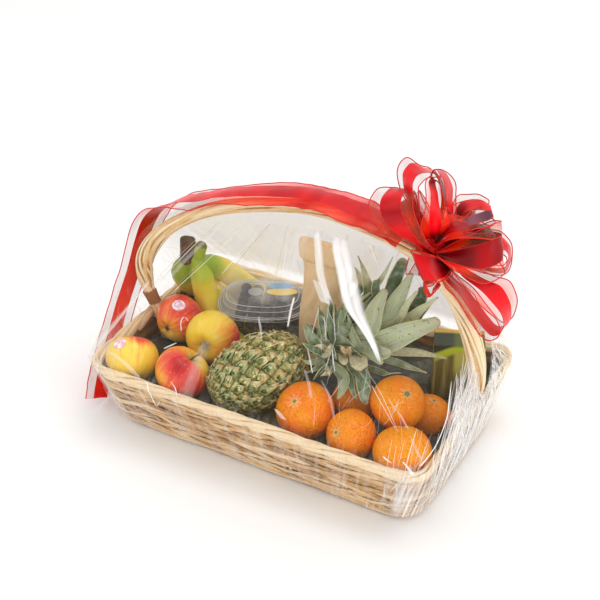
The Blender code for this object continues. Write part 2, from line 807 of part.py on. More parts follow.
def make_berries():
    """The punnet's heap: a smaller core with the berries that show fused on."""
    levels = (
        (0.024, PUNNET_LOW + 0.0025),
        (0.013, PUNNET_LOW + 0.0025),
        (0.010, PUNNET_LOW + 0.008),
        (0.0105, PUNNET_SEAM - 0.006),
        (0.0135, PUNNET_SEAM - 0.001),
        (0.024, PUNNET_SEAM),
    )
    rings = [punnet_outline(shrink, z) for shrink, z in levels]
    bm = grid_surface(len(rings[0]), len(rings) - 1, lambda column, row: rings[row][column])
    heap = make_object("berries", bm, material("berry", (0.06, 0.03, 0.05), 0.4))
    turn = Matrix.Rotation(PUNNET_YAW, 3, "Z")
    draw = random.Random(3)
    radius = 0.0085
    pitch = 0.0185
    berries = []
    for j in range(-1, 2):
        count = 3 if j else 5
        for i in range(count):
            along = (i - (count - 1) / 2) * pitch
            local = Vector((along + draw.uniform(-0.001, 0.001), j * pitch, 0.0))
            place = turn @ local + PUNNET_CENTRE
            place.z = PUNNET_SEAM + 0.0015 + draw.uniform(-0.0015, 0.0010)
            ball = bmesh.new()
            bmesh.ops.create_icosphere(ball, subdivisions=1, radius=radius)
            berry = make_object(f"berry_{i}_{j}", ball, material("berry", (0.06, 0.03, 0.05), 0.4))
            berry.matrix_world = Matrix.Translation(place) @ Matrix.Rotation(draw.uniform(0, 3), 4, "X")
            berries.append(berry)
    return fuse(heap, berries)


def make_bag():
    """A kraft paper bag: a puffed body, a pinched neck and a folded-over top."""
    levels = (
        (BED_HEIGHT + 0.0005, 0.84, 0.75),
        (BED_HEIGHT + 0.006, 0.96, 0.95),
        (0.100, 1.00, 1.00),
        (0.135, 0.95, 0.92),
        (0.165, 0.82, 0.66),
        (0.195, 0.80, 0.40),
        (0.207, 0.86, 0.36),
        (0.2085, 1.00, 0.52),
        (BAG_TOP - 0.003, 1.02, 0.46),
        (BAG_TOP, 0.98, 0.34),
    )
    count = 16

    def place(column, row):
        z, wide, deep = levels[row]
        angle = 2 * math.pi * column / count
        c, s = math.cos(angle), math.sin(angle)
        x = math.copysign(abs(c) ** 0.5, c) * BAG_HALF_WIDTH * wide
        y = math.copysign(abs(s) ** 0.7, s) * BAG_HALF_DEPTH * deep
        lean = 0.004 * (z - BED_HEIGHT) / (BAG_TOP - BED_HEIGHT)
        return Vector((BAG_CENTRE.x + x - lean, BAG_CENTRE.y + y + lean, z))

    bm = grid_surface(count, len(levels) - 1, place)
    return make_object("paper_bag", bm, material("kraft_paper", (0.62, 0.42, 0.22), 0.7))


def make_carton():
    bm = bmesh.new()
    height = CARTON_TOP - BED_HEIGHT - GAP
    size = (2 * CARTON_HALF_WIDTH, 2 * CARTON_HALF_DEPTH, height)
    bmesh.ops.create_cube(bm, size=1.0)
    bmesh.ops.scale(bm, vec=size, verts=bm.verts)
    bmesh.ops.bevel(
        bm, geom=bm.edges, offset=0.0012, segments=1, profile=0.5, affect="EDGES", clamp_overlap=True
    )
    made = make_object("carton", bm, material("carton_print", (0.12, 0.22, 0.05), 0.4), smooth=False)
    made.location = CARTON_CENTRE + Vector((0, 0, BED_HEIGHT + GAP + height / 2))
    made.rotation_euler = (0, 0, CARTON_YAW)
    return made


def ribbon_station(s):
    """The long ribbon's middle, the way it is wide and its sag at the edges, s from 0 to 1.

    It leaves the bow, lies over the top of the handle, slips off behind the left
    shoulder and hangs outside the left end down to the front corner's foot.
    """
    top = 0.55
    start = handle_x_share(0.130)
    end = handle_x_share(-0.128)
    here, outward, radius = handle_point(mix(start, end, min(s / top, 1.0)))
    out3 = Vector((outward.x, 0.0, outward.y))
    crest = Vector((here.x, 0.0, here.y)) + out3 * RIBBON_LIFT
    if s <= top:
        return crest, Vector((0, 1, 0)), -out3, RIBBON_SAG
    tail = (
        crest,
        Vector((-0.1900, 0.014, 0.256)),
        Vector((-0.2420, 0.024, 0.212)),
        Vector((-0.2600, -0.004, 0.144)),
        Vector((-0.2630, -0.046, 0.092)),
        Vector((-0.2600, -0.086, 0.044)),
        Vector((-0.2520, -0.112, 0.0065)),
    )
    t = (s - top) / (1 - top)
    middle = catmull(tail, t)
    turn = smooth_step(0.0, 0.40, t)
    across = Vector((0, 1, 0)).lerp(Vector((-0.25, 0.78, -0.58)), turn).normalized()
    sag = RIBBON_SAG * (1 - smooth_step(0.0, 0.22, t))
    return middle, across, -out3, sag


def make_ribbon():
    across = 4
    along = 26

    def place(column, row):
        middle, side, droop, sag = ribbon_station(row / along)
        u = column / across * 2 - 1
        wave = 0.0012 * math.sin(9.0 * row / along * math.pi) * u
        point = middle + side * (RIBBON_WIDTH / 2 * u) + droop * (sag * abs(u) ** 1.7 + wave)
        point.z = max(point.z, 0.0022)
        return point

    bm = grid_surface(across, along, place, closed=False, capped=False)
    return thickened("ribbon", bm, material("ribbon_red", (0.72, 0.02, 0.03), 0.35), RIBBON)


# Bow loops: each one's tip from the knot, the way its band is wide, and its fullness,
# in the bow's own frame (to its right, up, and out towards the one who is given it)
BOW_LOOPS = (
    ((-0.052, 0.054, 0.004), (0.30, 0.25, 0.90), 0.015),
    ((-0.034, 0.100, -0.036), (0.90, 0.30, -0.30), 0.012),
    ((-0.010, 0.086, 0.044), (0.95, 0.10, 0.20), 0.012),
    ((0.036, 0.094, -0.012), (0.20, -0.10, 0.95), 0.013),
    ((0.074, 0.052, 0.004), (-0.45, 0.65, 0.50), 0.013),
    ((0.093, 0.000, 0.018), (0.05, 0.85, 0.50), 0.017),
    ((0.094, -0.058, -0.012), (0.25, 0.25, 0.90), 0.012),
    ((0.044, -0.084, 0.024), (0.80, 0.40, 0.40), 0.013),
    ((0.010, 0.028, 0.062), (0.98, 0.05, 0.00), 0.015),
    ((-0.014, -0.044, 0.024), (0.80, -0.30, 0.30), 0.010),
    ((0.040, 0.020, -0.054), (0.30, 0.90, 0.30), 0.014),
)
BOW_BAND = 0.050
BOW_FACE = Vector((0.405, -0.728, 0.554)).normalized()
BOW_RIGHT = Vector((0.0, 0.0, 1.0)).cross(BOW_FACE).normalized()
BOW_UP = BOW_FACE.cross(BOW_RIGHT)
KNOT_RADIUS = 0.0155


def bow_to_world(vector):
    return BOW_RIGHT * vector[0] + BOW_UP * vector[1] + BOW_FACE * vector[2]


def bow_loop(name, tip, wide, fullness):
    """A closed teardrop of ribbon from the knot out to its tip and back."""
    tip = bow_to_world(tip)
    length = tip.length
    ahead = tip / length
    wide = bow_to_world(wide)
    wide = (wide - ahead * wide.dot(ahead)).normalized()
    up = ahead.cross(wide).normalized()
    along = 8
    margin = 0.62

    def place(column, row):
        t = mix(margin, 2 * math.pi - margin, row / along)
        reach = length * (0.5 - 0.5 * math.cos(t))
        rise = fullness * 1.3 * math.sin(t) * math.sin(t / 2) ** 1.4
        u = column - 0.5
        band = BOW_BAND * mix(0.12, 1.0, math.sin(t / 2) ** 1.1)
        return BOW_CENTRE + ahead * reach + up * rise + wide * (band * u)

    bm = grid_surface(1, along, place, closed=False, capped=False)
    return baked_mesh(thickened(name, bm, material("ribbon_red", (0.72, 0.02, 0.03), 0.35), 0.0014))


def make_bow():
    knot = bmesh.new()
    bmesh.ops.create_icosphere(knot, subdivisions=2, radius=KNOT_RADIUS)
    bow = make_object("bow", knot, material("ribbon_red", (0.72, 0.02, 0.03), 0.35))
    bow.location = BOW_CENTRE
    loops = []
    for index, (tip, wide, fullness) in enumerate(BOW_LOOPS):
        loops.append(bow_loop(f"loop_{index}", tip, wide, fullness))
    return fuse(bow, loops, "MANIFOLD")


def build():
    clear_scene()
    make_basket()
    make_handle()
    make_binding("binding_left", True)
    make_binding("binding_right", False)
    make_bed()
    for name, centre, radius, axis in APPLES:
        make_apple(name, centre, radius, axis)
    for name, centre, radius, axis in ORANGES:
        make_orange(name, centre, radius, axis)
    make_bananas()
    make_pineapple()
    make_crown()
    make_punnet()
    make_berries()
    make_bag()
    make_carton()
    make_film()
    make_ribbon()
    make_bow()


build()
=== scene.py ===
"""The looks of a fruit gift basket: woven willow, fresh fruit, clear film, red ribbon and bow.

Metres, in the row frame: the origin is the middle of the tray's underside, +X runs to the end
with the bow, -Y is the front and +Z is up.
"""

import bisect
import functools
import math
import random

import bmesh
import bpy
from mathutils import Matrix, Vector, noise


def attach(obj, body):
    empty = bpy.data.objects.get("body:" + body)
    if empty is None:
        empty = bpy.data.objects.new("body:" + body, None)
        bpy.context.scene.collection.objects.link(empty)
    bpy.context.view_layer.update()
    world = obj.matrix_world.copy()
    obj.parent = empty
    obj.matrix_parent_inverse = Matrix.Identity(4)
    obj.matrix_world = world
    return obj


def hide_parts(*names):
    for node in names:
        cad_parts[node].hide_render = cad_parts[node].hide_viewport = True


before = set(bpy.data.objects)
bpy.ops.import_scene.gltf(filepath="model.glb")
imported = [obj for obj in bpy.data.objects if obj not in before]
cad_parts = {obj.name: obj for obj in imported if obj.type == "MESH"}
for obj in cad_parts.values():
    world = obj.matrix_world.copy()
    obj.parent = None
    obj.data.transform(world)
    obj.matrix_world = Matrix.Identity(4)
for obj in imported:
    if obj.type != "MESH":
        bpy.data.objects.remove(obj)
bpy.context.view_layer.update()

TAU = 2 * math.pi
UP = Vector((0.0, 0.0, 1.0))

# The tray, the handle's line and the film's gaps are the CAD model's own sizes
RIM_LENGTH, RIM_WIDTH, RIM_HEIGHT, RIM_CORNER = 0.468, 0.296, 0.094, 0.030
BASE_LENGTH, BASE_WIDTH, BASE_CORNER = 0.428, 0.240, 0.035
FLOOR_HEIGHT = 0.008
BED_HEIGHT = 0.0545
HANDLE_LINE = (
    (-0.2010, 0.016), (-0.2143, 0.084), (-0.2330, 0.130), (-0.2290, 0.175), (-0.1880, 0.228),
    (-0.1110, 0.276), (-0.0040, 0.307), (0.0620, 0.308), (0.1270, 0.295), (0.1790, 0.268),
    (0.2190, 0.206), (0.2330, 0.130), (0.2143, 0.084), (0.2010, 0.016),
)
HANDLE_RADIUS, LEG_BULGE, PINCH = 0.0085, 0.0035, 0.0023
STRAND_RELIEF = 0.14
HANDLE_TWISTS = 3.0
BINDING_LOW, BINDING_HIGH = 0.101, 0.118
FILM_GAP, FILM_FOOT, FILM_HANDLE_GAP, FILM_LEG_START = 0.0022, 0.004, 0.0042, 0.128
RIBBON_WIDTH, RIBBON_LIFT, RIBBON_SAG = 0.057, 0.0195, 0.005

APPLES = {
    "apple_1": ((-0.1780, -0.009, 0.0950), 0.0330, (0.16, 0.98, 0.08)),
    "apple_2": ((-0.1130, -0.030, 0.101), 0.0355, (0.10, -0.99, 0.06)),
    "apple_3": ((-0.187, -0.103, 0.087), 0.0340, (-0.377, 0.678, 0.625)),
    "apple_4": ((-0.1145, -0.1005, 0.0900), 0.0355, (0.42, 0.40, 0.81)),
}
ORANGES = {
    "orange_1": ((0.053, -0.089, 0.087), 0.0360, (-0.15, -0.59, 0.80)),
    "orange_2": ((0.120, -0.099, 0.083), 0.0310, (-0.38, -0.75, 0.54)),
    "orange_3": ((0.153, -0.043, 0.105), 0.0335, (0.50, -0.26, 0.82)),
    "orange_4": ((0.187, -0.101, 0.086), 0.0345, (-0.27, 0.48, 0.83)),
    "orange_5": ((0.1755, -0.001, 0.0650), 0.0285, (0.20, 0.10, 0.97)),
    "orange_6": ((0.090, -0.032, 0.078), 0.0290, (0.00, 0.30, 0.95)),
}
PINE_LOW = Vector((-0.0375, -0.0805, 0.0945))
PINE_AXIS = Vector((0.651, 0.651, 0.390)).normalized()
PINE_BODY, PINE_RADIUS = 0.130, 0.0455
CROWN_AXIS = Vector((0.80, 0.32, 0.50)).normalized()
CROWN_BASE = PINE_LOW + PINE_AXIS * (PINE_BODY - PINE_RADIUS + 0.0005)
PUNNET_CENTRE = Vector((-0.090, 0.056, 0.0))
PUNNET_YAW = math.radians(25)
PUNNET_HALF_LENGTH, PUNNET_HALF_WIDTH, PUNNET_SQUARE = 0.058, 0.044, 0.72
PUNNET_LOW, PUNNET_SEAM, PUNNET_TOP = 0.0850, 0.1120, 0.1260
BAG_CENTRE = Vector((0.006, 0.042, 0.0))
BAG_HALF_WIDTH, BAG_HALF_DEPTH, BAG_TOP = 0.031, 0.016, 0.234
CARTON_CENTRE = Vector((0.179, 0.074, 0.0))
CARTON_HALF_WIDTH, CARTON_HALF_DEPTH, CARTON_TOP = 0.031, 0.018, 0.136
CARTON_YAW = math.radians(25)
BOW_CENTRE = Vector((0.171, -0.008, 0.3095))
BOW_FACE = Vector((0.405, -0.728, 0.554)).normalized()
BOW_RIGHT = UP.cross(BOW_FACE).normalized()
BOW_UP = BOW_FACE.cross(BOW_RIGHT)


def to_front(offset):
    """A move given in mm to the right, up and towards the front, as the bow faces."""
    right, up, front = offset
    return (BOW_RIGHT * right + BOW_UP * up + BOW_FACE * front) * 0.001


# Shapes

def mix(a, b, t):
    """The value a share of the way from a to b."""
    return a + (b - a) * t


def smooth_step(low, high, value):
    """0 below low, 1 above high and an even curve between them."""
    t = min(max((value - low) / (high - low), 0.0), 1.0)
    return t * t * (3 - 2 * t)


def ripple(x, y=0.0, z=0.0):
    """Smooth noise, about -1 to 1."""
    return noise.noise(Vector((x, y, z)))


def catmull(points, t):
    """A point on the smooth curve through the points, t from 0 to 1."""
    spans = len(points) - 1
    at = min(max(t, 0.0), 1.0) * spans
    i = min(int(at), spans - 1)
    f = at - i
    p0 = Vector(points[max(i - 1, 0)])
    p1 = Vector(points[i])
    p2 = Vector(points[i + 1])
    p3 = Vector(points[min(i + 2, spans)])
    return 0.5 * (
        2 * p1
        + (p2 - p0) * f
        + (2 * p0 - 5 * p1 + 4 * p2 - p3) * f * f
        + (3 * p1 - p0 - 3 * p2 + p3) * f * f * f
    )


def new_shape():
    """An empty mesh with a UV map and the two numbers that finishes read at each point."""
    bm = bmesh.new()
    bm.loops.layers.uv.new("UVMap")
    bm.verts.layers.float.new("tone")
    bm.verts.layers.float.new("mark")
    return bm


def add_grid(bm, columns, rows, place, ends=False, uv=(1.0, 1.0, 0.0, 0.0), slot=0, tone=None, mark=None):
    """A grid laid out by place(u, v), both from 0 to 1; sides that meet are joined.

    tone and mark are numbers, or functions of u and v. Returns the new points.
    """
    map_layer = bm.loops.layers.uv.verify()
    layers = (bm.verts.layers.float["tone"], bm.verts.layers.float["mark"])
    made = bmesh.ops.create_grid(bm, x_segments=columns, y_segments=rows, size=0.5, calc_uvs=True)["verts"]
    faces = {face for vert in made for face in vert.link_faces}
    for face in faces:
        face.material_index = slot
        for loop in face.loops:
            loop[map_layer].uv = (
                loop[map_layer].uv.x * uv[0] + uv[2],
                loop[map_layer].uv.y * uv[1] + uv[3],
            )
    for vert in made:
        u = round((vert.co.x + 0.5) * columns) / columns
        v = round((vert.co.y + 0.5) * rows) / rows
        for layer, value in zip(layers, (tone, mark)):
            if value is not None:
                vert[layer] = value(u, v) if callable(value) else value
        vert.co = place(u, v)
    bmesh.ops.remove_doubles(bm, verts=made, dist=1e-6)
    made = [vert for vert in made if vert.is_valid]
    if ends:
        rims = {edge for vert in made for edge in vert.link_edges if edge.is_boundary}
        capped = bmesh.ops.holes_fill(bm, edges=list(rims), sides=0)["faces"]
        for face in capped:
            face.material_index = slot
    return made


def outwards(bm, verts=None):
    """Turns the faces of closed shells outwards."""
    faces = bm.faces if verts is None else list({f for v in verts for f in v.link_faces})
    bmesh.ops.recalc_face_normals(bm, faces=faces)


def add_tube(bm, stations, wide, thick, sides=6, slot=0, tone=0.0, shift=0.0, loop=False, length=1.0):
    """A rod or strip along stations of (middle, way out, way it is wide)."""
    rows = len(stations) - 1

    def place(u, v):
        middle, out, side = stations[round(v * rows)]
        angle = TAU * (u % 1.0)
        around = v % 1.0 if loop else v
        swell = 1 + 0.16 * ripple(math.cos(TAU * around) * 9 + shift, math.sin(TAU * around) * 9, shift)
        return middle + side * (wide / 2 * swell * math.cos(angle)) + out * (thick / 2 * math.sin(angle))

    uv = (1.0, length, 0.0, shift)
    outwards(bm, add_grid(bm, sides, rows, place, ends=not loop, uv=uv, slot=slot, tone=tone))


def path_stations(points, out=UP):
    """Stations along points, wide square to the line and level with the way out."""
    found = []
    for i, point in enumerate(points):
        ahead = points[min(i + 1, len(points) - 1)] - points[max(i - 1, 0)]
        side = ahead.cross(out)
        side = side.normalized() if side.length > 1e-9 else Vector((1, 0, 0))
        found.append((point, side.cross(ahead).normalized(), side))
    return found


def as_piece(name, bm, finishes, replaces=()):
    """Turns a mesh into a named piece that rides on the basket."""
    mesh = bpy.data.meshes.new(name)
    bm.to_mesh(mesh)
    bm.free()
    for finish in finishes if isinstance(finishes, (list, tuple)) else [finishes]:
        mesh.materials.append(finish)
    mesh.shade_smooth()
    made = bpy.data.objects.new(name, mesh)
    bpy.context.scene.collection.objects.link(made)
    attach(made, "root")
    if replaces:
        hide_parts(*replaces)
    return made


def turned(centre, axis, roll=0.0):
    """The turn and move that carry +Z to the axis and the origin to the centre."""
    turn = Vector(axis).normalized().to_track_quat("Z", "Y").to_matrix().to_4x4()
    return Matrix.Translation(centre) @ turn @ Matrix.Rotation(roll, 4, "Z")


# Finishes

def rgb(red, green, blue):
    """A colour as a screen shows it, as the shader wants it."""
    return tuple(
        (c / 255 / 12.92) if c / 255 <= 0.04045 else ((c / 255 + 0.055) / 1.055) ** 2.4
        for c in (red, green, blue)
    )


class Paint:
    """A finish built up step by step from patterns, colour ramps and bumps."""

    def __init__(self, name, **values):
        self.finish = bpy.data.materials.new(name)
        self.finish.use_nodes = True
        self.tree = self.finish.node_tree
        self.shader = self.tree.nodes["Principled BSDF"]
        for key, value in values.items():
            self.put(self.shader.inputs[key.replace("_", " ")], value)

    def put(self, socket, value):
        if isinstance(value, bpy.types.NodeSocket):
            self.tree.links.new(value, socket)
        elif isinstance(value, tuple) and socket.type == "RGBA":
            socket.default_value = (*value, 1.0)
        else:
            socket.default_value = value

    def step(self, kind, inputs=(), **settings):
        made = self.tree.nodes.new("ShaderNode" + kind)
        for key, value in settings.items():
            setattr(made, key, value)
        for key, value in dict(inputs).items():
            self.put(made.inputs[key], value)
        return made

    def where(self, scale=(1, 1, 1), shift=(0, 0, 0), turn=(0, 0, 0), uv=False):
        """Places on the piece: its own coordinates, or its UV map."""
        source = self.step("TexCoord").outputs["UV" if uv else "Object"]
        inputs = {"Vector": source, "Location": shift, "Rotation": turn, "Scale": scale}
        return self.step("Mapping", inputs).outputs["Vector"]

    def noise(self, where, scale, detail=3.0, rough=0.55, warp=0.0):
        inputs = {"Vector": where, "Scale": scale, "Detail": detail, "Roughness": rough, "Distortion": warp}
        return self.step("TexNoise", inputs).outputs[0]

    def cells(self, where, scale, feature="F1"):
        return self.step("TexVoronoi", {"Vector": where, "Scale": scale}, feature=feature).outputs["Distance"]

    def wave(self, where, scale, warp, detail, direction):
        inputs = {"Vector": where, "Scale": scale, "Distortion": warp, "Detail": detail}
        return self.step("TexWave", inputs, bands_direction=direction).outputs["Fac"]

    def ramp(self, value, *stops):
        """The colour, or the grey number, that stops of (value, colour) give a value."""
        made = self.step("ValToRGB", {"Fac": value})
        elements = made.color_ramp.elements
        while len(elements) < len(stops):
            elements.new(1.0)
        for element, (at, colour) in zip(elements, stops):
            element.position = at
            element.color = (*colour, 1.0) if isinstance(colour, tuple) else (colour,) * 3 + (1.0,)
        return made.outputs["Color"]

    def blend(self, amount, a, b):
        made = self.step("Mix", data_type="RGBA")
        self.put(made.inputs[0], amount)
        self.put(made.inputs[6], a)
        self.put(made.inputs[7], b)
        return made.outputs[2]

    def reckon(self, kind, a, b=0.0):
        return self.step("Math", {0: a, 1: b}, operation=kind).outputs[0]

    def plus(self, a, b):
        return self.reckon("ADD", a, b)

    def minus(self, a, b):
        return self.reckon("SUBTRACT", a, b)

    def times(self, a, b):
        return self.reckon("MULTIPLY", a, b)

    def swing(self, pattern, amount):
        """A pattern of 0 to 1 as more or less than nothing."""
        return self.times(self.minus(pattern, 0.5), amount)

    def number(self, name):
        """One of the numbers kept at each point."""
        return self.step("Attribute", attribute_name=name).outputs["Fac"]

    def across(self):
        """The UV map's two numbers."""
        made = self.step("SeparateXYZ", {0: self.step("TexCoord").outputs["UV"]})
        return made.outputs[0], made.outputs[1]

    def bump(self, height, depth, strength=1.0):
        inputs = {"Height": height, "Distance": depth, "Strength": strength}
        if self.shader.inputs["Normal"].is_linked:
            inputs["Normal"] = self.shader.inputs["Normal"].links[0].from_socket
        self.put(self.shader.inputs["Normal"], self.step("Bump", inputs).outputs[0])

    def done(self, colour=None, roughness=None):
        if colour is not None:
            self.put(self.shader.inputs["Base Color"], colour)
        if roughness is not None:
            self.put(self.shader.inputs["Roughness"], roughness)
        return self.finish


def strip_finish(name, light, middle, dark, crack):
    """Split willow or straw: grain along the strip, each strip its own shade."""
    paint = Paint(name, Specular_IOR_Level=0.4)
    grain = paint.noise(paint.where(scale=(5.0, 14.0, 1.0), uv=True), 3.0, 5.0, 0.62, 0.4)
    patch = paint.noise(paint.where(), 55.0, 3.0)
    shade = paint.plus(paint.times(grain, 0.55), paint.times(patch, 0.35))
    shade = paint.plus(shade, paint.number("tone"))
    colour = paint.ramp(shade, (0.18, dark), (0.42, middle), (0.68, light))
    line = paint.noise(paint.where(scale=(14.0, 5.0, 1.0), uv=True), 4.0, 4.0, 0.7, 0.2)
    colour = paint.blend(paint.ramp(line, (0.60, 0.0), (0.70, 0.75)), colour, crack)
    paint.bump(grain, 0.0012, 0.6)
    paint.bump(line, 0.0005, 0.5)
    return paint.done(colour, paint.ramp(grain, (0.3, 0.62), (0.8, 0.42)))


def shadow_finish():
    """The shell behind the weave, which shows as dark gaps."""
    paint = Paint("weave_shadow", Specular_IOR_Level=0.1)
    rows = paint.wave(paint.where(), 26.0, 3.0, 2.0, "Z")
    patch = paint.noise(paint.where(), 90.0, 4.0)
    colour = paint.blend(patch, rgb(104, 68, 36), rgb(176, 132, 82))
    colour = paint.blend(paint.times(rows, 0.5), colour, rgb(70, 44, 24))
    paint.bump(rows, 0.0015, 0.7)
    return paint.done(colour, 0.75)


def reed_finish():
    paint = Paint("brown_reed", Specular_IOR_Level=0.45)
    grain = paint.noise(paint.where(scale=(6.0, 30.0, 1.0), uv=True), 2.0, 4.0, 0.6)
    colour = paint.ramp(grain, (0.3, rgb(120, 72, 40)), (0.55, rgb(176, 120, 74)), (0.8, rgb(216, 176, 128)))
    paint.bump(grain, 0.0006, 0.6)
    return paint.done(colour, 0.5)


def packing_finish():
    paint = Paint("packing_sheet", Specular_IOR_Level=0.5)
    cloud = paint.noise(paint.where(), 28.0, 4.0, 0.6)
    fibre = paint.noise(paint.where(scale=(1, 5, 1), turn=(0, 0, 0.6)), 120.0, 4.0, 0.7)
    colour = paint.ramp(cloud, (0.30, rgb(30, 34, 30)), (0.52, rgb(66, 70, 62)), (0.75, rgb(128, 126, 112)))
    colour = paint.blend(paint.ramp(fibre, (0.45, 0.0), (0.7, 0.6)), colour, rgb(58, 42, 30))
    paint.bump(paint.noise(paint.where(), 70.0, 5.0, 0.6, 0.8), 0.004, 0.6)
    return paint.done(colour, 0.42)


def apple_finish():
    """Blush over yellow: the tone says how red a place is; streaks run from stem to eye."""
    paint = Paint("apple_skin", Coat_Weight=0.10, Coat_Roughness=0.15, Specular_IOR_Level=0.3)
    streak = paint.noise(paint.where(scale=(46.0, 2.4, 1.0), uv=True), 1.0, 4.0, 0.6, 0.3)
    blotch = paint.noise(paint.where(), 60.0, 3.0, 0.5)
    red = paint.plus(paint.number("tone"), paint.swing(streak, 0.55))
    red = paint.plus(red, paint.swing(blotch, 0.35))
    colour = paint.ramp(
        red,
        (0.05, rgb(240, 206, 40)), (0.25, rgb(254, 220, 84)), (0.45, rgb(254, 166, 62)),
        (0.62, rgb(240, 92, 62)), (0.82, rgb(216, 40, 46)), (1.0, rgb(176, 14, 26)),
    )
    dots = paint.cells(paint.where(), 260.0)
    colour = paint.blend(paint.ramp(dots, (0.10, 0.55), (0.17, 0.0)), colour, rgb(250, 214, 150))
    colour = paint.blend(paint.number("mark"), colour, rgb(96, 84, 48))
    paint.bump(paint.noise(paint.where(), 210.0, 2.0), 0.0006, 0.18)
    return paint.done(colour, 0.33)


def peel_finish():
    """Orange peel: pores, and a warmer or paler patch here and there."""
    paint = Paint("orange_peel", Coat_Weight=0.08, Coat_Roughness=0.2, Specular_IOR_Level=0.3)
    cloud = paint.noise(paint.where(), 34.0, 3.0, 0.5)
    shade = paint.plus(paint.times(cloud, 0.8), paint.number("tone"))
    colour = paint.ramp(
        shade,
        (0.15, rgb(255, 120, 0)), (0.45, rgb(255, 148, 0)), (0.75, rgb(255, 170, 0)),
        (1.0, rgb(255, 188, 10)),
    )
    pores = paint.cells(paint.where(), 560.0)
    colour = paint.blend(paint.ramp(pores, (0.12, 0.55), (0.35, 0.0)), colour, rgb(240, 108, 0))
    colour = paint.blend(paint.number("mark"), colour, rgb(250, 222, 160))
    paint.bump(paint.ramp(pores, (0.05, 0.0), (0.42, 1.0)), 0.0012, 0.9)
    paint.bump(paint.noise(paint.where(), 120.0, 3.0), 0.0010, 0.30)
    return paint.done(colour, 0.36)


def banana_finish():
    """Green at the neck, through lime to yellow; the mark is brown wood or scars."""
    paint = Paint("banana_skin", Specular_IOR_Level=0.3)
    cloud = paint.noise(paint.where(), 60.0, 3.0)
    ripe = paint.plus(paint.number("tone"), paint.swing(cloud, 0.25))
    colour = paint.ramp(
        ripe,
        (0.0, rgb(150, 178, 56)), (0.30, rgb(190, 206, 70)), (0.55, rgb(240, 224, 76)),
        (0.85, rgb(255, 232, 92)),
    )
    fleck = paint.noise(paint.where(scale=(9.0, 2.0, 1.0), uv=True), 8.0, 4.0, 0.7)
    colour = paint.blend(paint.ramp(fleck, (0.66, 0.0), (0.74, 0.45)), colour, rgb(120, 84, 36))
    wood = paint.ramp(paint.noise(paint.where(), 220.0, 4.0), (0.3, rgb(58, 42, 28)), (0.7, rgb(126, 96, 66)))
    colour = paint.blend(paint.number("mark"), colour, wood)
    paint.bump(paint.noise(paint.where(scale=(16.0, 1.2, 1.0), uv=True), 3.0, 3.0), 0.0007, 0.4)
    return paint.done(colour, 0.45)


def rind_finish():
    """Pineapple rind: the tone runs from a groove to an eye's top, the mark picks riper, paler eyes and is
    raised on the side that faces up as painted light.
    """
    paint = Paint("pineapple_rind", Specular_IOR_Level=0.3)
    fine = paint.noise(paint.where(), 420.0, 4.0, 0.7)
    cloud = paint.noise(paint.where(), 130.0, 4.0, 0.65)
    green = paint.ramp(cloud, (0.30, rgb(58, 82, 28)), (0.48, rgb(116, 136, 72)), (0.68, rgb(176, 184, 128)))
    ripe = paint.ramp(cloud, (0.30, rgb(116, 110, 44)), (0.50, rgb(186, 170, 84)), (0.70, rgb(238, 222, 158)))
    colour = paint.blend(paint.number("mark"), green, ripe)
    groove = paint.ramp(paint.number("tone"), (0.03, 0.9), (0.24, 0.0))
    colour = paint.blend(groove, colour, rgb(44, 56, 24))
    colour = paint.blend(paint.ramp(fine, (0.56, 0.0), (0.66, 0.8)), colour, rgb(238, 226, 178))
    colour = paint.blend(paint.ramp(fine, (0.34, 0.7), (0.42, 0.0)), colour, rgb(62, 50, 20))
    paint.bump(fine, 0.0022, 0.8)
    return paint.done(colour, 0.5)


def bract_finish():
    """The pointed scale over each eye: green at its foot, pale along its edges, brown at its tip."""
    paint = Paint("eye_bract", Specular_IOR_Level=0.25)
    u, v = paint.across()
    grain = paint.noise(paint.where(), 260.0, 4.0, 0.65)
    cloud = paint.noise(paint.where(), 60.0, 2.0)
    along = paint.plus(v, paint.swing(grain, 1.1))
    green = paint.ramp(
        along, (0.12, rgb(34, 60, 24)), (0.42, rgb(84, 116, 58)), (0.68, rgb(172, 188, 132)),
        (0.88, rgb(206, 150, 92)),
    )
    ripe = paint.ramp(
        along, (0.12, rgb(84, 96, 36)), (0.40, rgb(190, 182, 92)), (0.66, rgb(250, 238, 188)),
        (0.88, rgb(196, 130, 72)),
    )
    side = paint.reckon("ABSOLUTE", paint.minus(u, 0.5))
    colour = paint.blend(paint.ramp(cloud, (0.52, 0.0), (0.72, 0.8)), green, ripe)
    colour = paint.blend(paint.number("mark"), colour, ripe)
    colour = paint.blend(paint.ramp(side, (0.36, 0.0), (0.5, 0.7)), colour, rgb(232, 230, 190))
    paint.bump(grain, 0.0010, 0.6)
    return paint.done(colour, 0.55)


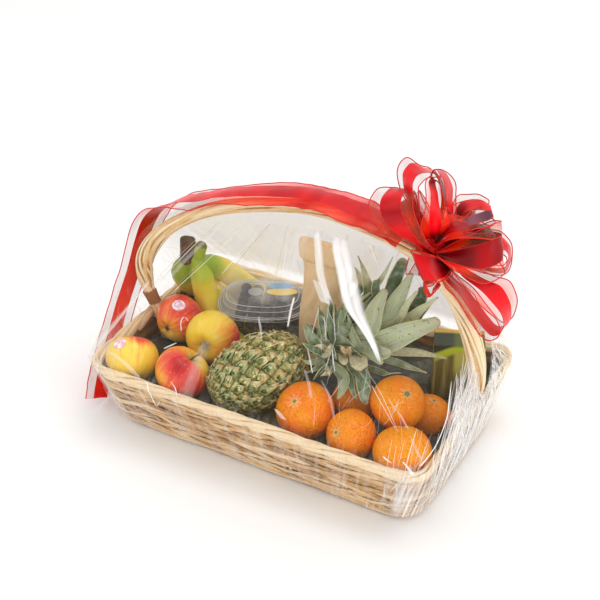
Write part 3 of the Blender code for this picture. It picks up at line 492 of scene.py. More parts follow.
def leaf_finish():
    """Crown leaves: grey bloom over green, fine lengthwise lines, pale edges, dry tips."""
    paint = Paint("crown_leaf", Specular_IOR_Level=0.35)
    u, v = paint.across()
    lines = paint.noise(paint.where(scale=(34.0, 1.2, 1.0), uv=True), 1.6, 4.0, 0.6)
    bloom = paint.noise(paint.where(), 90.0, 4.0, 0.6)
    shade = paint.plus(paint.times(lines, 0.80), paint.times(paint.number("tone"), 0.60))
    shade = paint.minus(shade, 0.10)
    colour = paint.ramp(
        shade, (0.20, rgb(34, 56, 30)), (0.42, rgb(82, 108, 74)), (0.66, rgb(150, 168, 134)),
        (0.95, rgb(216, 224, 184)),
    )
    colour = paint.blend(paint.ramp(bloom, (0.48, 0.0), (0.68, 0.50)), colour, rgb(196, 208, 196))
    fleck = paint.noise(paint.where(), 230.0, 3.0)
    colour = paint.blend(paint.ramp(fleck, (0.62, 0.0), (0.68, 0.7)), colour, rgb(74, 108, 34))
    side = paint.reckon("ABSOLUTE", paint.minus(u, 0.5))
    colour = paint.blend(paint.ramp(side, (0.44, 0.0), (0.49, 0.8)), colour, rgb(214, 216, 160))
    dry = paint.blend(paint.ramp(fleck, (0.4, 0.0), (0.6, 1.0)), rgb(214, 196, 156), rgb(168, 134, 96))
    colour = paint.blend(paint.number("mark"), colour, dry)
    paint.bump(lines, 0.0009, 0.5)
    return paint.done(colour, paint.ramp(bloom, (0.3, 0.40), (0.7, 0.62)))


def clear_finish(name, tint, alpha, roughness, wavy=0.0, scale=60.0):
    """Thin clear plastic: mostly see-through, with its own gloss."""
    paint = Paint(name, Base_Color=tint, Roughness=roughness, Specular_IOR_Level=0.8, Alpha=alpha)
    if wavy:
        paint.bump(paint.noise(paint.where(), scale, 3.0, 0.5, 0.5), wavy, 0.6)
    return paint.done()


def berry_finish():
    """Dark skin under a thin bloom; the tone makes one berry paler than the next."""
    paint = Paint("berry_skin", Specular_IOR_Level=0.4)
    bloom = paint.noise(paint.where(), 240.0, 4.0, 0.6)
    shade = paint.plus(paint.times(bloom, 0.8), paint.number("tone"))
    colour = paint.ramp(shade, (0.25, rgb(18, 12, 24)), (0.55, rgb(44, 38, 62)), (0.9, rgb(96, 96, 128)))
    paint.bump(bloom, 0.0005, 0.4)
    return paint.done(colour, 0.45)


def plain_finish(name, colour, roughness):
    """A near-even colour with a fine grain, for labels, stems and small trim."""
    paint = Paint(name, Specular_IOR_Level=0.45)
    grain = paint.noise(paint.where(), 200.0, 3.0)
    darker = tuple(c * 0.8 for c in colour)
    paint.bump(grain, 0.0003, 0.5)
    return paint.done(paint.blend(grain, darker, colour), roughness)


def sticker_finish():
    """White paper with soft pink and lilac blotches and no print."""
    paint = Paint("sticker_paper", Roughness=0.4)
    pink = paint.noise(paint.where(), 190.0, 2.0)
    lilac = paint.noise(paint.where(shift=(3, 5, 1)), 230.0, 2.0)
    colour = paint.blend(paint.ramp(pink, (0.46, 0.0), (0.56, 0.8)), rgb(252, 246, 248), rgb(242, 160, 184))
    return paint.done(paint.blend(paint.ramp(lilac, (0.54, 0.0), (0.62, 0.7)), colour, rgb(190, 176, 220)))


def kraft_finish():
    paint = Paint("kraft_paper", Specular_IOR_Level=0.3)
    fibre = paint.noise(paint.where(scale=(1, 1, 4)), 160.0, 5.0, 0.7)
    cloud = paint.noise(paint.where(), 30.0, 3.0)
    colour = paint.blend(cloud, rgb(238, 196, 140), rgb(255, 232, 190))
    colour = paint.blend(paint.ramp(fibre, (0.45, 0.0), (0.75, 0.25)), colour, rgb(190, 146, 98))
    crease = paint.cells(paint.where(scale=(1, 1, 0.5)), 46.0, "DISTANCE_TO_EDGE")
    colour = paint.blend(paint.ramp(crease, (0.0, 0.35), (0.06, 0.0)), colour, rgb(238, 210, 168))
    paint.bump(crease, 0.008, 0.6)
    paint.bump(fibre, 0.0006, 0.4)
    return paint.done(colour, 0.72)


def carton_finish():
    """Plain fields of print on board: dark green, a slanting lime band, olive below, a yellow top edge."""
    paint = Paint("carton_print", Coat_Weight=0.2)
    place = paint.step("SeparateXYZ", {0: paint.where()})
    from_x = paint.minus(place.outputs[0], CARTON_CENTRE.x)
    from_y = paint.minus(place.outputs[1], CARTON_CENTRE.y)
    height = place.outputs[2]
    cos, sin = math.cos(CARTON_YAW), math.sin(CARTON_YAW)
    across = paint.plus(paint.times(from_x, cos), paint.times(from_y, sin))
    back = paint.minus(paint.times(from_y, cos), paint.times(from_x, sin))
    slanted = paint.minus(height, paint.times(across, 0.5))
    streak = paint.noise(paint.where(scale=(1, 1, 0.04)), 170.0, 4.0, 0.6)
    olive = paint.ramp(streak, (0.35, rgb(82, 76, 30)), (0.5, rgb(132, 126, 62)), (0.65, rgb(190, 184, 126)))
    right_half = paint.ramp(paint.plus(across, 0.008), (0.0, 0.0), (0.004, 1.0))
    patch = paint.times(right_half, paint.ramp(height, (0.088, 0.0), (0.100, 1.0)))
    olive = paint.blend(paint.times(patch, 0.85), olive, rgb(206, 208, 96))
    band = paint.ramp(slanted, (0.1285, 0.0), (0.1290, 1.0), (0.1395, 1.0), (0.1400, 0.0))
    colour = paint.blend(paint.ramp(slanted, (0.1390, 0.0), (0.1395, 1.0)), olive, rgb(26, 50, 22))
    colour = paint.blend(band, colour, rgb(190, 214, 44))
    top = paint.blend(paint.ramp(back, (0.0100, 0.0), (0.0112, 1.0)), rgb(24, 46, 22), rgb(250, 196, 70))
    colour = paint.blend(paint.ramp(height, (0.1338, 0.0), (0.1342, 1.0)), colour, top)
    fine = paint.noise(paint.where(), 260.0, 3.0)
    colour = paint.blend(paint.times(fine, 0.2), colour, rgb(60, 64, 30))
    return paint.done(colour, 0.42)


def satin_finish(name, light, dark, deep, roughness=0.32):
    """Satin ribbon: fine ribs across, a soft painted sheen along, darker where the tone lays painted shade.
    """
    paint = Paint(name, Anisotropic=0.4, Specular_IOR_Level=0.22)
    ribs = paint.wave(paint.where(uv=True), 420.0, 0.0, 0.0, "Y")
    soft = paint.noise(paint.where(scale=(3.0, 9.0, 1.0), uv=True), 2.4, 3.0, 0.5)
    # Painted sheen: lighter and darker satin drifting along the ribbon; the tone then blends in the painted
    # shade.
    colour = paint.ramp(soft, (0.25, dark), (0.7, light))
    colour = paint.blend(paint.number("tone"), colour, deep)
    paint.bump(ribs, 0.0001, 0.3)
    paint.bump(soft, 0.0012, 0.3)
    return paint.done(colour, roughness)


def organza_finish():
    """Sheer woven edge: see-through where flat, dense and bright where the mark says it is gathered."""
    paint = Paint("organza", Roughness=0.3, Specular_IOR_Level=0.2)
    folds = paint.noise(paint.where(scale=(14.0, 3.0, 1.0), uv=True), 2.0, 4.0, 0.6, 0.6)
    gathered = paint.plus(paint.swing(folds, 1.3), paint.number("mark"))
    gathered.node.use_clamp = True
    paint.put(paint.shader.inputs["Alpha"], paint.ramp(gathered, (0.0, 0.24), (0.5, 0.70), (0.9, 0.95)))
    paint.bump(folds, 0.0015, 0.5)
    colour = paint.ramp(
        gathered,
        (0.10, rgb(160, 84, 62)), (0.28, rgb(255, 66, 20)), (0.60, rgb(250, 32, 6)),
        (0.95, rgb(186, 2, 2)),
    )
    return paint.done(colour)


def film_finish():
    """Clear wrapping film: the mark is white glare, the tone a warm tint where it lies doubled."""
    paint = Paint("clear_film", Roughness=0.14, Specular_IOR_Level=0.5)
    cloud = paint.noise(paint.where(), 9.0, 3.0, 0.6, 0.4)
    tint = paint.ramp(
        cloud, (0.30, rgb(176, 194, 216)), (0.42, rgb(206, 190, 160)), (0.58, rgb(210, 192, 158)),
        (0.70, rgb(240, 206, 110)),
    )
    # The mark is painted glare: it makes the film whiter and less clear.
    painted_glare, warm = paint.number("mark"), paint.number("tone")
    alpha = paint.plus(paint.plus(painted_glare, warm), 0.035)
    alpha.node.use_clamp = True
    paint.put(paint.shader.inputs["Alpha"], alpha)
    white = paint.reckon("DIVIDE", painted_glare, alpha)
    white.node.use_clamp = True
    paint.bump(paint.noise(paint.where(), 34.0, 3.0, 0.5, 0.6), 0.004, 0.35)
    return paint.done(paint.blend(white, tint, (1.0, 0.99, 0.98)))


# Basket

def outline_at(share, z, offset=0.0):
    """The point at a share of the way round the tray at a height, and the way out of it."""
    t = z / RIM_HEIGHT
    half_x = mix(BASE_LENGTH, RIM_LENGTH, t) / 2 + offset
    half_y = mix(BASE_WIDTH, RIM_WIDTH, t) / 2 + offset
    radius = mix(BASE_CORNER, RIM_CORNER, t) + offset
    flat_x, flat_y, quarter = half_x - radius, half_y - radius, math.pi / 2 * radius
    runs = (flat_y, quarter, 2 * flat_x, quarter, 2 * flat_y, quarter, 2 * flat_x, quarter, flat_y)
    left = (share % 1.0) * sum(runs)
    for index, run in enumerate(runs):
        if left <= run:
            break
        left -= run
    quadrant = (index + 1) // 2
    if index % 2:
        corner = (
            (flat_x, flat_y), (-flat_x, flat_y), (-flat_x, -flat_y), (flat_x, -flat_y),
        )[(index - 1) // 2]
        angle = math.pi / 2 * (quadrant - 1) + left / radius
        out = Vector((math.cos(angle), math.sin(angle), 0))
        return Vector((corner[0], corner[1], z)) + out * radius, out
    starts = ((half_x, 0), (flat_x, half_y), (-half_x, flat_y), (-flat_x, -half_y), (half_x, -flat_y))
    aheads = ((0, 1), (-1, 0), (0, -1), (1, 0), (0, 1))
    outs = ((1, 0), (0, 1), (-1, 0), (0, -1), (1, 0))
    at = index // 2
    point = Vector((*starts[at], z)) + Vector((*aheads[at], 0)) * left
    return point, Vector((*outs[at], 0))


def round_the_tray(z, offset, rise, depth, waves, phase, segments, wander, seed, lowest=0.0020):
    """Stations of a strand that winds up and down and in and out as it goes round."""
    found = []
    for k in range(segments + 1):
        share = (k % segments) / segments
        turn = TAU * (waves * share + phase)
        stray = ripple(math.cos(TAU * share) * 6 + seed, math.sin(TAU * share) * 6, seed)
        height = max(z + rise * math.sin(turn) + wander * stray, lowest)
        base, out = outline_at(share, height, offset + depth * math.cos(turn))
        lean = (out * 0.25 + UP).normalized()
        away = lean.cross(out.cross(lean)).normalized()
        found.append((base, away if away.dot(out) > 0 else -away, lean))
    return found


WALL_COURSES, COURSE_STRIPS, WALL_STAKES, RIM_STRIPS = 7, 3, 66, 5
# The shell behind the weave, from the underside up the outside and down to the floor inside: each
# ring's height and how far it is out from the tray's outline. The first and last close it.
SHELL_RINGS = (
    (0.0015, -0.060), (0.0015, -0.0085), (0.006, -0.0058), (0.040, -0.0066), (0.078, -0.0062),
    (0.088, -0.0066), (0.089, -0.0082), (0.078, -0.0094), (0.040, -0.0092),
    (FLOOR_HEIGHT, -0.0085), (FLOOR_HEIGHT, -0.060),
)


def weave_wall(tray, draw):
    """Courses of three thin strips that cross each other as they go round."""
    for course in range(WALL_COURSES):
        z = mix(0.0085, 0.0735, course / (WALL_COURSES - 1))
        turn = draw.random()
        waves = (1 if course % 2 else -1) * draw.choice((7, 9, 11))
        for strip in range(COURSE_STRIPS):
            stations = round_the_tray(
                z, offset=-0.0032, rise=0.0040, depth=0.0016, waves=waves, phase=turn + strip / COURSE_STRIPS,
                segments=260, wander=0.0052, seed=course * 3.7 + strip, lowest=0.0052,
            )
            add_tube(
                tray, stations, 0.0082 + draw.uniform(-0.0026, 0.0016), 0.0018,
                tone=draw.uniform(-0.20, 0.14), shift=draw.uniform(0, 30), loop=True, length=15,
            )


def set_stakes(tray, draw):
    """Upright stakes behind the strips."""
    for stake in range(WALL_STAKES):
        share = (stake + draw.uniform(-0.12, 0.12)) / WALL_STAKES
        points = [outline_at(share, z, -0.0036)[0] for z in (0.004, 0.028, 0.052, 0.078)]
        out = outline_at(share, 0.05)[1]
        add_tube(
            tray, [(p, out, UP.cross(out)) for p in points], 0.0052, 0.0022, sides=4,
            tone=draw.uniform(-0.12, 0.1), shift=draw.uniform(0, 30), length=0.8,
        )


def braid_rim(tray, draw):
    """A braid of broad strips, with two thinner rods along its top."""
    # The rim's strips and rods get a lighter tone than the wall's strips: painted light on the braid, which
    # faces up.
    for strip in range(RIM_STRIPS):
        stations = round_the_tray(
            0.0842, offset=-0.0052, rise=0.0058, depth=0.0036, waves=8, phase=strip / RIM_STRIPS,
            segments=300, wander=0.0024, seed=40 + strip * 2.3,
        )
        add_tube(
            tray, stations, 0.0104 + draw.uniform(-0.001, 0.001), 0.0030, tone=draw.uniform(0.10, 0.32),
            shift=draw.uniform(0, 30), loop=True, length=15,
        )
    for rod in range(2):
        stations = round_the_tray(
            0.0888 - 0.002 * rod, offset=-0.0050, rise=0.0022, depth=0.0028, waves=7, phase=rod / 2,
            segments=260, wander=0.0008, seed=60 + rod,
        )
        add_tube(tray, stations, 0.0062, 0.0050, tone=0.24, shift=9 * rod, loop=True, length=15)


def edge_foot(tray, draw):
    """Three thin rods round the foot of the wall."""
    for rod in range(3):
        stations = round_the_tray(
            0.0050 + 0.0010 * rod, offset=-0.0012 - 0.0006 * rod, rise=0.0011, depth=0.0009, waves=9,
            phase=rod / 3, segments=240, wander=0.0006, seed=80 + rod,
        )
        tone = draw.uniform(0.0, 0.1)
        add_tube(tray, stations, 0.0036, 0.0034, tone=tone, shift=5 * rod, loop=True, length=15)


def back_weave(tray):
    """The shell behind the strips, with the tray's floor."""
    def ring(u, v):
        z, offset = SHELL_RINGS[round(v * (len(SHELL_RINGS) - 1))]
        if offset > -0.05:
            return outline_at(u, z, offset)[0]
        return outline_at(u, z)[0] * 0.5 + UP * (z / 2)

    outwards(tray, add_grid(tray, 220, len(SHELL_RINGS) - 1, ring, ends=True, slot=1))


def make_basket():
    """Split willow twined round upright stakes, with a braided rim."""
    draw = random.Random(11)
    tray = new_shape()
    weave_wall(tray, draw)
    set_stakes(tray, draw)
    braid_rim(tray, draw)
    edge_foot(tray, draw)
    back_weave(tray)
    as_piece("willow_basket", tray, [willow, weave_shadow], ["basket"])


def handle_point(t):
    """The handle's middle line, its direction outwards from the arch and its radius."""
    here = catmull(HANDLE_LINE, t)
    step = 0.002
    along = (catmull(HANDLE_LINE, min(t + step, 1)) - catmull(HANDLE_LINE, max(t - step, 0))).normalized()
    outward = Vector((-along.y, along.x))
    side = min(t, 1 - t)
    bulge = smooth_step(0.13, 0.20, side) * (1 - smooth_step(0.24, 0.36, side))
    pinch = 1 - smooth_step(0.11, 0.17, side)
    return here, outward, HANDLE_RADIUS + LEG_BULGE * bulge - PINCH * pinch


def handle_height_share(height, left):
    """The share along the handle at which one of its legs comes to a height."""
    low, high = (0.0, 0.4) if left else (1.0, 0.6)
    for _ in range(30):
        middle = (low + high) / 2
        if handle_point(middle)[0].y < height:
            low = middle
        else:
            high = middle
    return (low + high) / 2


ARCH_STEPS = 800
ARCH_SHARES = [mix(0.30, 0.74, k / ARCH_STEPS) for k in range(ARCH_STEPS + 1)]
ARCH_X = [catmull(HANDLE_LINE, t).x for t in ARCH_SHARES]


def handle_x_share(x):
    """The share along the handle at which its arch is over x."""
    at = min(max(bisect.bisect_left(ARCH_X, x), 1), ARCH_STEPS)
    part = (x - ARCH_X[at - 1]) / (ARCH_X[at] - ARCH_X[at - 1])
    return mix(ARCH_SHARES[at - 1], ARCH_SHARES[at], min(max(part, 0.0), 1.0))


def handle_surface(t, angle, reach):
    """A point beside the handle's middle line: reach is a share of its radius."""
    here, outward, radius = handle_point(t)
    out = Vector((outward.x, 0, outward.y))
    way = out * math.cos(angle) + Vector((0, 1, 0)) * math.sin(angle)
    return Vector((here.x, 0, here.y)) + way * (radius * reach), way


STRAWS = 15


def make_handle():
    """Long straws laid in a twisted bundle, loose at the legs and tight on top."""
    draw = random.Random(5)
    bundle = new_shape()
    rows = 150
    for strand in range(STRAWS):
        seed = draw.uniform(0, 40)
        start = strand / STRAWS + draw.uniform(-0.02, 0.02)
        stations = []
        for k in range(rows + 1):
            t = k / rows
            angle = TAU * (start + HANDLE_TWISTS * 0.6 * t) + 0.9 * ripple(t * 9, seed)
            reach = 0.84 + 0.15 * ripple(t * 14, seed, 3.0)
            middle, way = handle_surface(t, angle, reach)
            before = handle_surface(max(t - 0.004, 0), angle, reach)[0]
            after = handle_surface(min(t + 0.004, 1), angle, reach)[0]
            stations.append((middle, way, (after - before).normalized().cross(way).normalized()))
        add_tube(
            bundle, stations, 0.0054 + draw.uniform(-0.0014, 0.0010), 0.0030,
            tone=draw.uniform(-0.06, 0.30), shift=seed, length=9,
        )

    # The core under the straws has a lower tone than they do: painted shade in the gaps between the straws.
    def core(u, v):
        return handle_surface(v, TAU * u, 0.72)[0]

    outwards(bundle, add_grid(bundle, 10, 90, core, ends=True, uv=(1.0, 9.0, 0.0, 0.0), tone=-0.12))
    as_piece("straw_handle", bundle, straw, ["handle"])


def make_binding(name, node, left):
    """Reed wound round a leg of the handle just above the rim."""
    reed = new_shape()
    low = handle_height_share(BINDING_LOW, left)
    high = handle_height_share(BINDING_HIGH, left)
    turns = 6
    rows = turns * 14
    stations = []
    for k in range(rows + 1):
        v = k / rows
        t = mix(low, high, v)
        angle = TAU * turns * v
        point, way = handle_surface(t, angle, 1.08 + 0.0011 / handle_point(t)[2])
        nearby = handle_surface(t + (high - low) * 0.01, angle + TAU * turns * 0.01, 1.08)[0]
        ahead = (nearby - handle_surface(t, angle, 1.08)[0]).normalized()
        stations.append((point, way, ahead.cross(way).normalized()))
    add_tube(reed, stations, 0.0030, 0.0018, length=5)
    as_piece(name, reed, brown_reed, [node])


# What the fruit lies on

def fruit_balls():
    """What presses the packing down: each as the start and end of a row of balls, and their radius."""
    balls = [(Vector(c), Vector(c), r) for c, r, axis in list(APPLES.values()) + list(ORANGES.values())]
    balls.append((PINE_LOW, PINE_LOW + PINE_AXIS * (PINE_BODY - 2 * PINE_RADIUS), PINE_RADIUS))
    for points, radius in BANANAS:
        for a, b in zip(points[1:-1], points[2:]):
            balls.append((Vector(a), Vector(b), radius))
    return balls


def bed_height(x, y, balls):
    """The packing's top: crumpled, and pressed down where fruit lies in it."""
    fold = abs(ripple(x * 30, y * 42, 0.3)) * 0.012 + abs(ripple(x * 85, y * 70, 4.0)) * 0.005
    z = BED_HEIGHT + 0.008 - fold
    for start, end, radius in balls:
        reach = radius + 0.0016
        for i in range(5):
            centre = start.lerp(end, i / 4)
            flat = (x - centre.x) ** 2 + (y - centre.y) ** 2
            if flat < reach * reach:
                z = min(z, centre.z - math.sqrt(reach * reach - flat))
    for centre, half_x, half_y, yaw in (
        (BAG_CENTRE, BAG_HALF_WIDTH, BAG_HALF_DEPTH, 0.0),
        (CARTON_CENTRE, CARTON_HALF_WIDTH, CARTON_HALF_DEPTH, CARTON_YAW),
    ):
        local = Matrix.Rotation(-yaw, 3, "Z") @ (Vector((x, y, 0)) - centre)
        if abs(local.x) < half_x + 0.002 and abs(local.y) < half_y + 0.002:
            z = min(z, BED_HEIGHT - 0.0012)
    return max(z, FLOOR_HEIGHT + 0.002)


SHEET_HALF_LENGTH, SHEET_HALF_WIDTH, SHEET_TOP = 0.2335, 0.1475, 0.070
WALL_THICKNESS = 0.0105
LEG_INNER_X, LEG_HALF_WIDTH = 0.188, 0.016


def make_packing():
    """A dark sheet crumpled into the tray, up its walls and round the handle's legs."""
    balls = fruit_balls()
    sheet = new_shape()

    def place(u, v):
        a, b = u * 2 - 1, v * 2 - 1
        x, y = a * SHEET_HALF_LENGTH, b * SHEET_HALF_WIDTH
        edge = max(abs(a) - 0.90, abs(b) - 0.86, 0.0)
        z = min(bed_height(x, y, balls) + edge * 0.06, SHEET_TOP)
        t = z / RIM_HEIGHT
        limit_x = mix(BASE_LENGTH, RIM_LENGTH, t) / 2 - WALL_THICKNESS
        limit_y = mix(BASE_WIDTH, RIM_WIDTH, t) / 2 - WALL_THICKNESS
        x = max(min(x, limit_x), -limit_x)
        y = max(min(y, limit_y), -limit_y)
        corner = mix(BASE_CORNER, RIM_CORNER, t)
        far = Vector((abs(x) - (limit_x - corner), abs(y) - (limit_y - corner)))
        if far.x > 0 and far.y > 0 and far.length > corner:
            far = far.normalized() * corner
            x = math.copysign(limit_x - corner + far.x, x)
            y = math.copysign(limit_y - corner + far.y, y)
        if abs(y) < LEG_HALF_WIDTH and abs(x) > LEG_INNER_X:
            x = math.copysign(LEG_INNER_X, x)
        return Vector((x, y, z))

    add_grid(sheet, 190, 130, place)
    for face in sheet.faces:
        if face.normal.z < 0:
            face.normal_flip()
    made = as_piece("packing_sheet", sheet, packing, ["lining"])


# Fruit

# How red each apple is all over, then patches: the way they face, how much redder, how wide
APPLE_BLUSH = {
    "apple_1": (0.60, (
        ((0.15, -0.81, -0.57), -0.34, 0.30), ((-0.37, -0.77, 0.52), -0.06, 0.10),
        ((0.60, -0.10, 0.60), 0.14, 0.25),
    )),
    "apple_2": (0.15, (
        ((0.88, 0.16, 0.19), 0.42, 0.24), ((0.86, -0.30, 0.10), 0.14, 0.35),
        ((0.69, -0.35, -0.63), 0.22, 0.20), ((-0.12, -0.28, 0.95), 0.06, 0.20),
    )),
    "apple_3": (0.18, (
        ((0.20, 0.40, 0.88), 0.62, 0.16), ((-0.44, -0.81, 0.20), 0.06, 0.30),
    )),
    "apple_4": (0.46, (
        ((0.42, -0.52, 0.75), 0.36, 0.14), ((0.79, -0.60, -0.15), 0.30, 0.22),
        ((0.70, 0.45, 0.55), -0.38, 0.10), ((-0.6, -0.7, 0.3), -0.08, 0.4),
        ((-0.10, -0.50, 0.86), 0.22, 0.22),
    )),
}
# Plain round stickers: the way each faces from its apple's middle, and half its width and height
STICKERS = {
    "apple_1": ((0.21, -0.34, 0.92), 0.0092, 0.0088),
    "apple_3": ((-0.24, -0.35, 0.90), 0.0095, 0.0085),
}


def add_round(bm, place, around=72, along=54, tone=None, mark=None, slot=0):
    """A closed round body laid out by place(turn, polar), polar from 0 on top to pi below."""
    def at(u, v):
        return place(0.0 if v in (0.0, 1.0) else TAU * (u % 1.0), math.pi * v)

    outwards(bm, add_grid(bm, around, along, at, tone=tone, mark=mark, slot=slot))


def add_stem(fruit, to_world, radius):
    """A short bent stem out of the hollow on top."""
    shares = [k / 6 for k in range(7)]
    stem = [to_world @ (Vector((0.10 * s * s, 0.05 * s, 0.60 + 0.34 * s)) * radius) for s in shares]
    add_tube(fruit, path_stations(stem, to_world.to_3x3() @ Vector((0, 1, 0))), 0.0024, 0.0024, slot=1)


def add_sepals(fruit, to_world, radius, seed):
    """Five dry sepals round the eye below."""
    down = to_world.to_3x3() @ Vector((0, 0, -1))
    for sepal in range(5):
        angle = TAU * sepal / 5 + seed
        points = []
        for k in range(4):
            s = k / 3
            flat = Vector((math.cos(angle), math.sin(angle), 0)) * (0.10 * s)
            depth = UP * (0.70 + 0.06 * math.sin(s * 3))
            points.append(to_world @ ((flat - depth) * radius))
        add_tube(fruit, path_stations(points, down), 0.0026, 0.0008, sides=4, slot=1)


def add_sticker(fruit, skin, to_world, radius, sticker):
    """A plain round sticker that follows the skin."""
    way, half_wide, half_high = sticker
    way = Vector(way).normalized()
    across = UP.cross(way).normalized()
    upward = way.cross(across)
    to_fruit = to_world.to_3x3().inverted()

    def place(u, v):
        angle = TAU * (u % 1.0)
        beside = across * (half_wide * v * math.cos(angle)) + upward * (half_high * v * math.sin(angle))
        facing = (way * radius + beside).normalized()
        local = to_fruit @ facing
        return skin(math.atan2(local.y, local.x), math.acos(max(min(local.z, 1), -1))) + facing * 0.0004

    add_grid(fruit, 28, 5, place, slot=2)


def make_apple(name):
    """A ribbed apple with a hollow, a stem, an eye and its own blush."""
    centre, radius, axis = APPLES[name]
    base_red, patches = APPLE_BLUSH[name]
    draw = random.Random(name)
    seed = draw.uniform(0, 50)
    to_world = turned(centre, axis, draw.uniform(0, 6))
    skew = draw.uniform(0.012, 0.03)
    fruit = new_shape()
    middle = Vector(centre)

    def skin(turn, polar):
        flat = math.sin(polar) * (1 + 0.05 * math.cos(polar))
        flat *= 1 + 0.022 * math.cos(5 * turn + seed) * smooth_step(1.4, 3.0, polar)
        uneven = 0.010 * ripple(2 * math.cos(turn), 2 * math.sin(turn), seed)
        flat *= 1 + skew * math.cos(turn + seed) + uneven
        z = 0.88 * math.cos(polar)
        z -= 0.27 * math.exp(-((polar / 0.36) ** 2)) * (1 + 0.12 * math.cos(4 * turn))
        z += 0.17 * math.exp(-(((math.pi - polar) / 0.33) ** 2)) * (1 + 0.16 * math.cos(5 * turn + seed))
        return to_world @ (Vector((flat * math.cos(turn), flat * math.sin(turn), z)) * radius * 0.985)

    def tone(u, v):
        facing = (skin(TAU * u, math.pi * v) - middle).normalized()
        red = base_red
        for way, amount, wide in patches:
            red += amount * math.exp(-(1 - facing.dot(Vector(way).normalized())) / wide)
        return red + 0.10 * ripple(6 * math.cos(TAU * u), 6 * math.sin(TAU * u), v * 3 + seed)

    def mark(u, v):
        russet = math.exp(-((v * math.pi / 0.22) ** 2)) + math.exp(-(((1 - v) * math.pi / 0.16) ** 2))
        return min(russet * (0.75 + 0.5 * ripple(u * 30, v * 20, seed)), 0.95)

    add_round(fruit, skin, tone=tone, mark=mark)
    add_stem(fruit, to_world, radius)
    add_sepals(fruit, to_world, radius, seed)
    if name in STICKERS:
        add_sticker(fruit, skin, to_world, radius, STICKERS[name])
    as_piece(name.replace("_", "_fruit_"), fruit, [apple_skin, dry_stem, sticker_paper], [name])


def make_orange(name):
    """A flattened orange, creased round its stem scar."""
    centre, radius, axis = ORANGES[name]
    draw = random.Random(name + "o")
    seed = draw.uniform(0, 50)
    to_world = turned(centre, axis, draw.uniform(0, 6))
    shade = draw.uniform(-0.06, 0.14)
    scar_radius = 0.10 if name in ("orange_3", "orange_6") else 0.055
    fruit = new_shape()

    def peel(turn, polar):
        crease = 0.5 + 0.5 * math.cos(9 * turn + seed + 2 * math.sin(2 * turn))
        squash = 0.905 - 0.055 * math.exp(-((polar / 0.26) ** 2))
        squash -= 0.030 * math.exp(-((polar / 0.55) ** 2)) * crease
        squash -= 0.02 * math.exp(-(((math.pi - polar) / 0.3) ** 2))
        x, y = math.sin(polar) * math.cos(turn), math.sin(polar) * math.sin(turn)
        wobble = 0.995 * (1 + 0.016 * ripple(1.6 * x, 1.6 * y, seed))
        return to_world @ (Vector((x * wobble, y * wobble, math.cos(polar) * squash)) * radius)

    def scar(turn, polar):
        flat = math.sin(polar) * scar_radius * (1 + 0.18 * math.cos(5 * turn))
        z = 0.852 + math.cos(polar) * 0.030
        return to_world @ (Vector((flat * math.cos(turn), flat * math.sin(turn), z)) * radius)

    def tone(u, v):
        return shade + 0.12 * ripple(3 * math.cos(TAU * u), 3 * math.sin(TAU * u), v * 4 + seed)

    def mark(u, v):
        star = 0.5 + 0.5 * math.cos(9 * TAU * u + seed)
        return min(0.85 * math.exp(-((v * math.pi / (0.10 + 0.10 * star)) ** 2)), 0.85)

    add_round(fruit, peel, 80, 60, tone=tone, mark=mark)
    add_round(fruit, scar, 20, 8, slot=1)
    as_piece(name.replace("_", "_fruit_"), fruit, [orange_peel, green_button], [name])


BANANA_STEM = (-0.190, 0.040, 0.165)
# Each finger's line from the stem to its tip and its radius
BANANAS = (
    ((
        BANANA_STEM, (-0.176, 0.052, 0.146), (-0.166, 0.084, 0.122), (-0.142, 0.108, 0.088),
        (-0.090, 0.112, 0.068),
    ), 0.0150),
    ((
        BANANA_STEM, (-0.175, 0.041, 0.142), (-0.166, 0.040, 0.104), (-0.134, 0.024, 0.0665),
        (-0.070, 0.015, 0.0650),
    ), 0.0150),
    ((
        BANANA_STEM, (-0.203, 0.040, 0.140), (-0.206, 0.056, 0.108), (-0.192, 0.088, 0.080),
        (-0.150, 0.108, 0.066),
    ), 0.0145),
    ((
        BANANA_STEM, (-0.186, 0.048, 0.138), (-0.176, 0.062, 0.104), (-0.140, 0.066, 0.070),
        (-0.080, 0.062, 0.067),
    ), 0.0145),
)
BANANA_GREENS = (0.30, 0.05, 0.42, 0.20)


def add_finger(hand, points, radius, green):
    """A ridged finger, thin at the neck and green there."""
    rows = 60
    frames = []
    side = Vector((0.3, 1, 0))
    for k in range(rows + 1):
        t = k / rows
        ahead = (catmull(points, min(t + 0.02, 1)) - catmull(points, max(t - 0.02, 0))).normalized()
        side = (side - ahead * side.dot(ahead)).normalized()
        frames.append((catmull(points, t), ahead.cross(side), side))

    def place(u, v):
        middle, out, side = frames[round(v * rows)]
        neck = mix(0.0058, radius, smooth_step(0.05, 0.34, v))
        reach = neck * mix(1.0, 0.30, smooth_step(0.80, 1.0, v))
        angle = TAU * (u % 1.0)
        ridge = 1 + 0.055 * abs(math.cos(2.5 * angle)) ** 3
        return middle + (side * math.cos(angle) + out * math.sin(angle)) * (reach * ridge)

    def ripe(u, v):
        return smooth_step(0.12, 0.72, v + 0.02) * 1.15 - green * (1 - smooth_step(0.3, 0.6, v)) + 0.12

    def ends(u, v):
        return smooth_step(0.955, 0.985, v) + 0.5 * (1 - smooth_step(0.02, 0.10, v))

    outwards(hand, add_grid(hand, 30, rows, place, ends=True, tone=ripe, mark=ends))


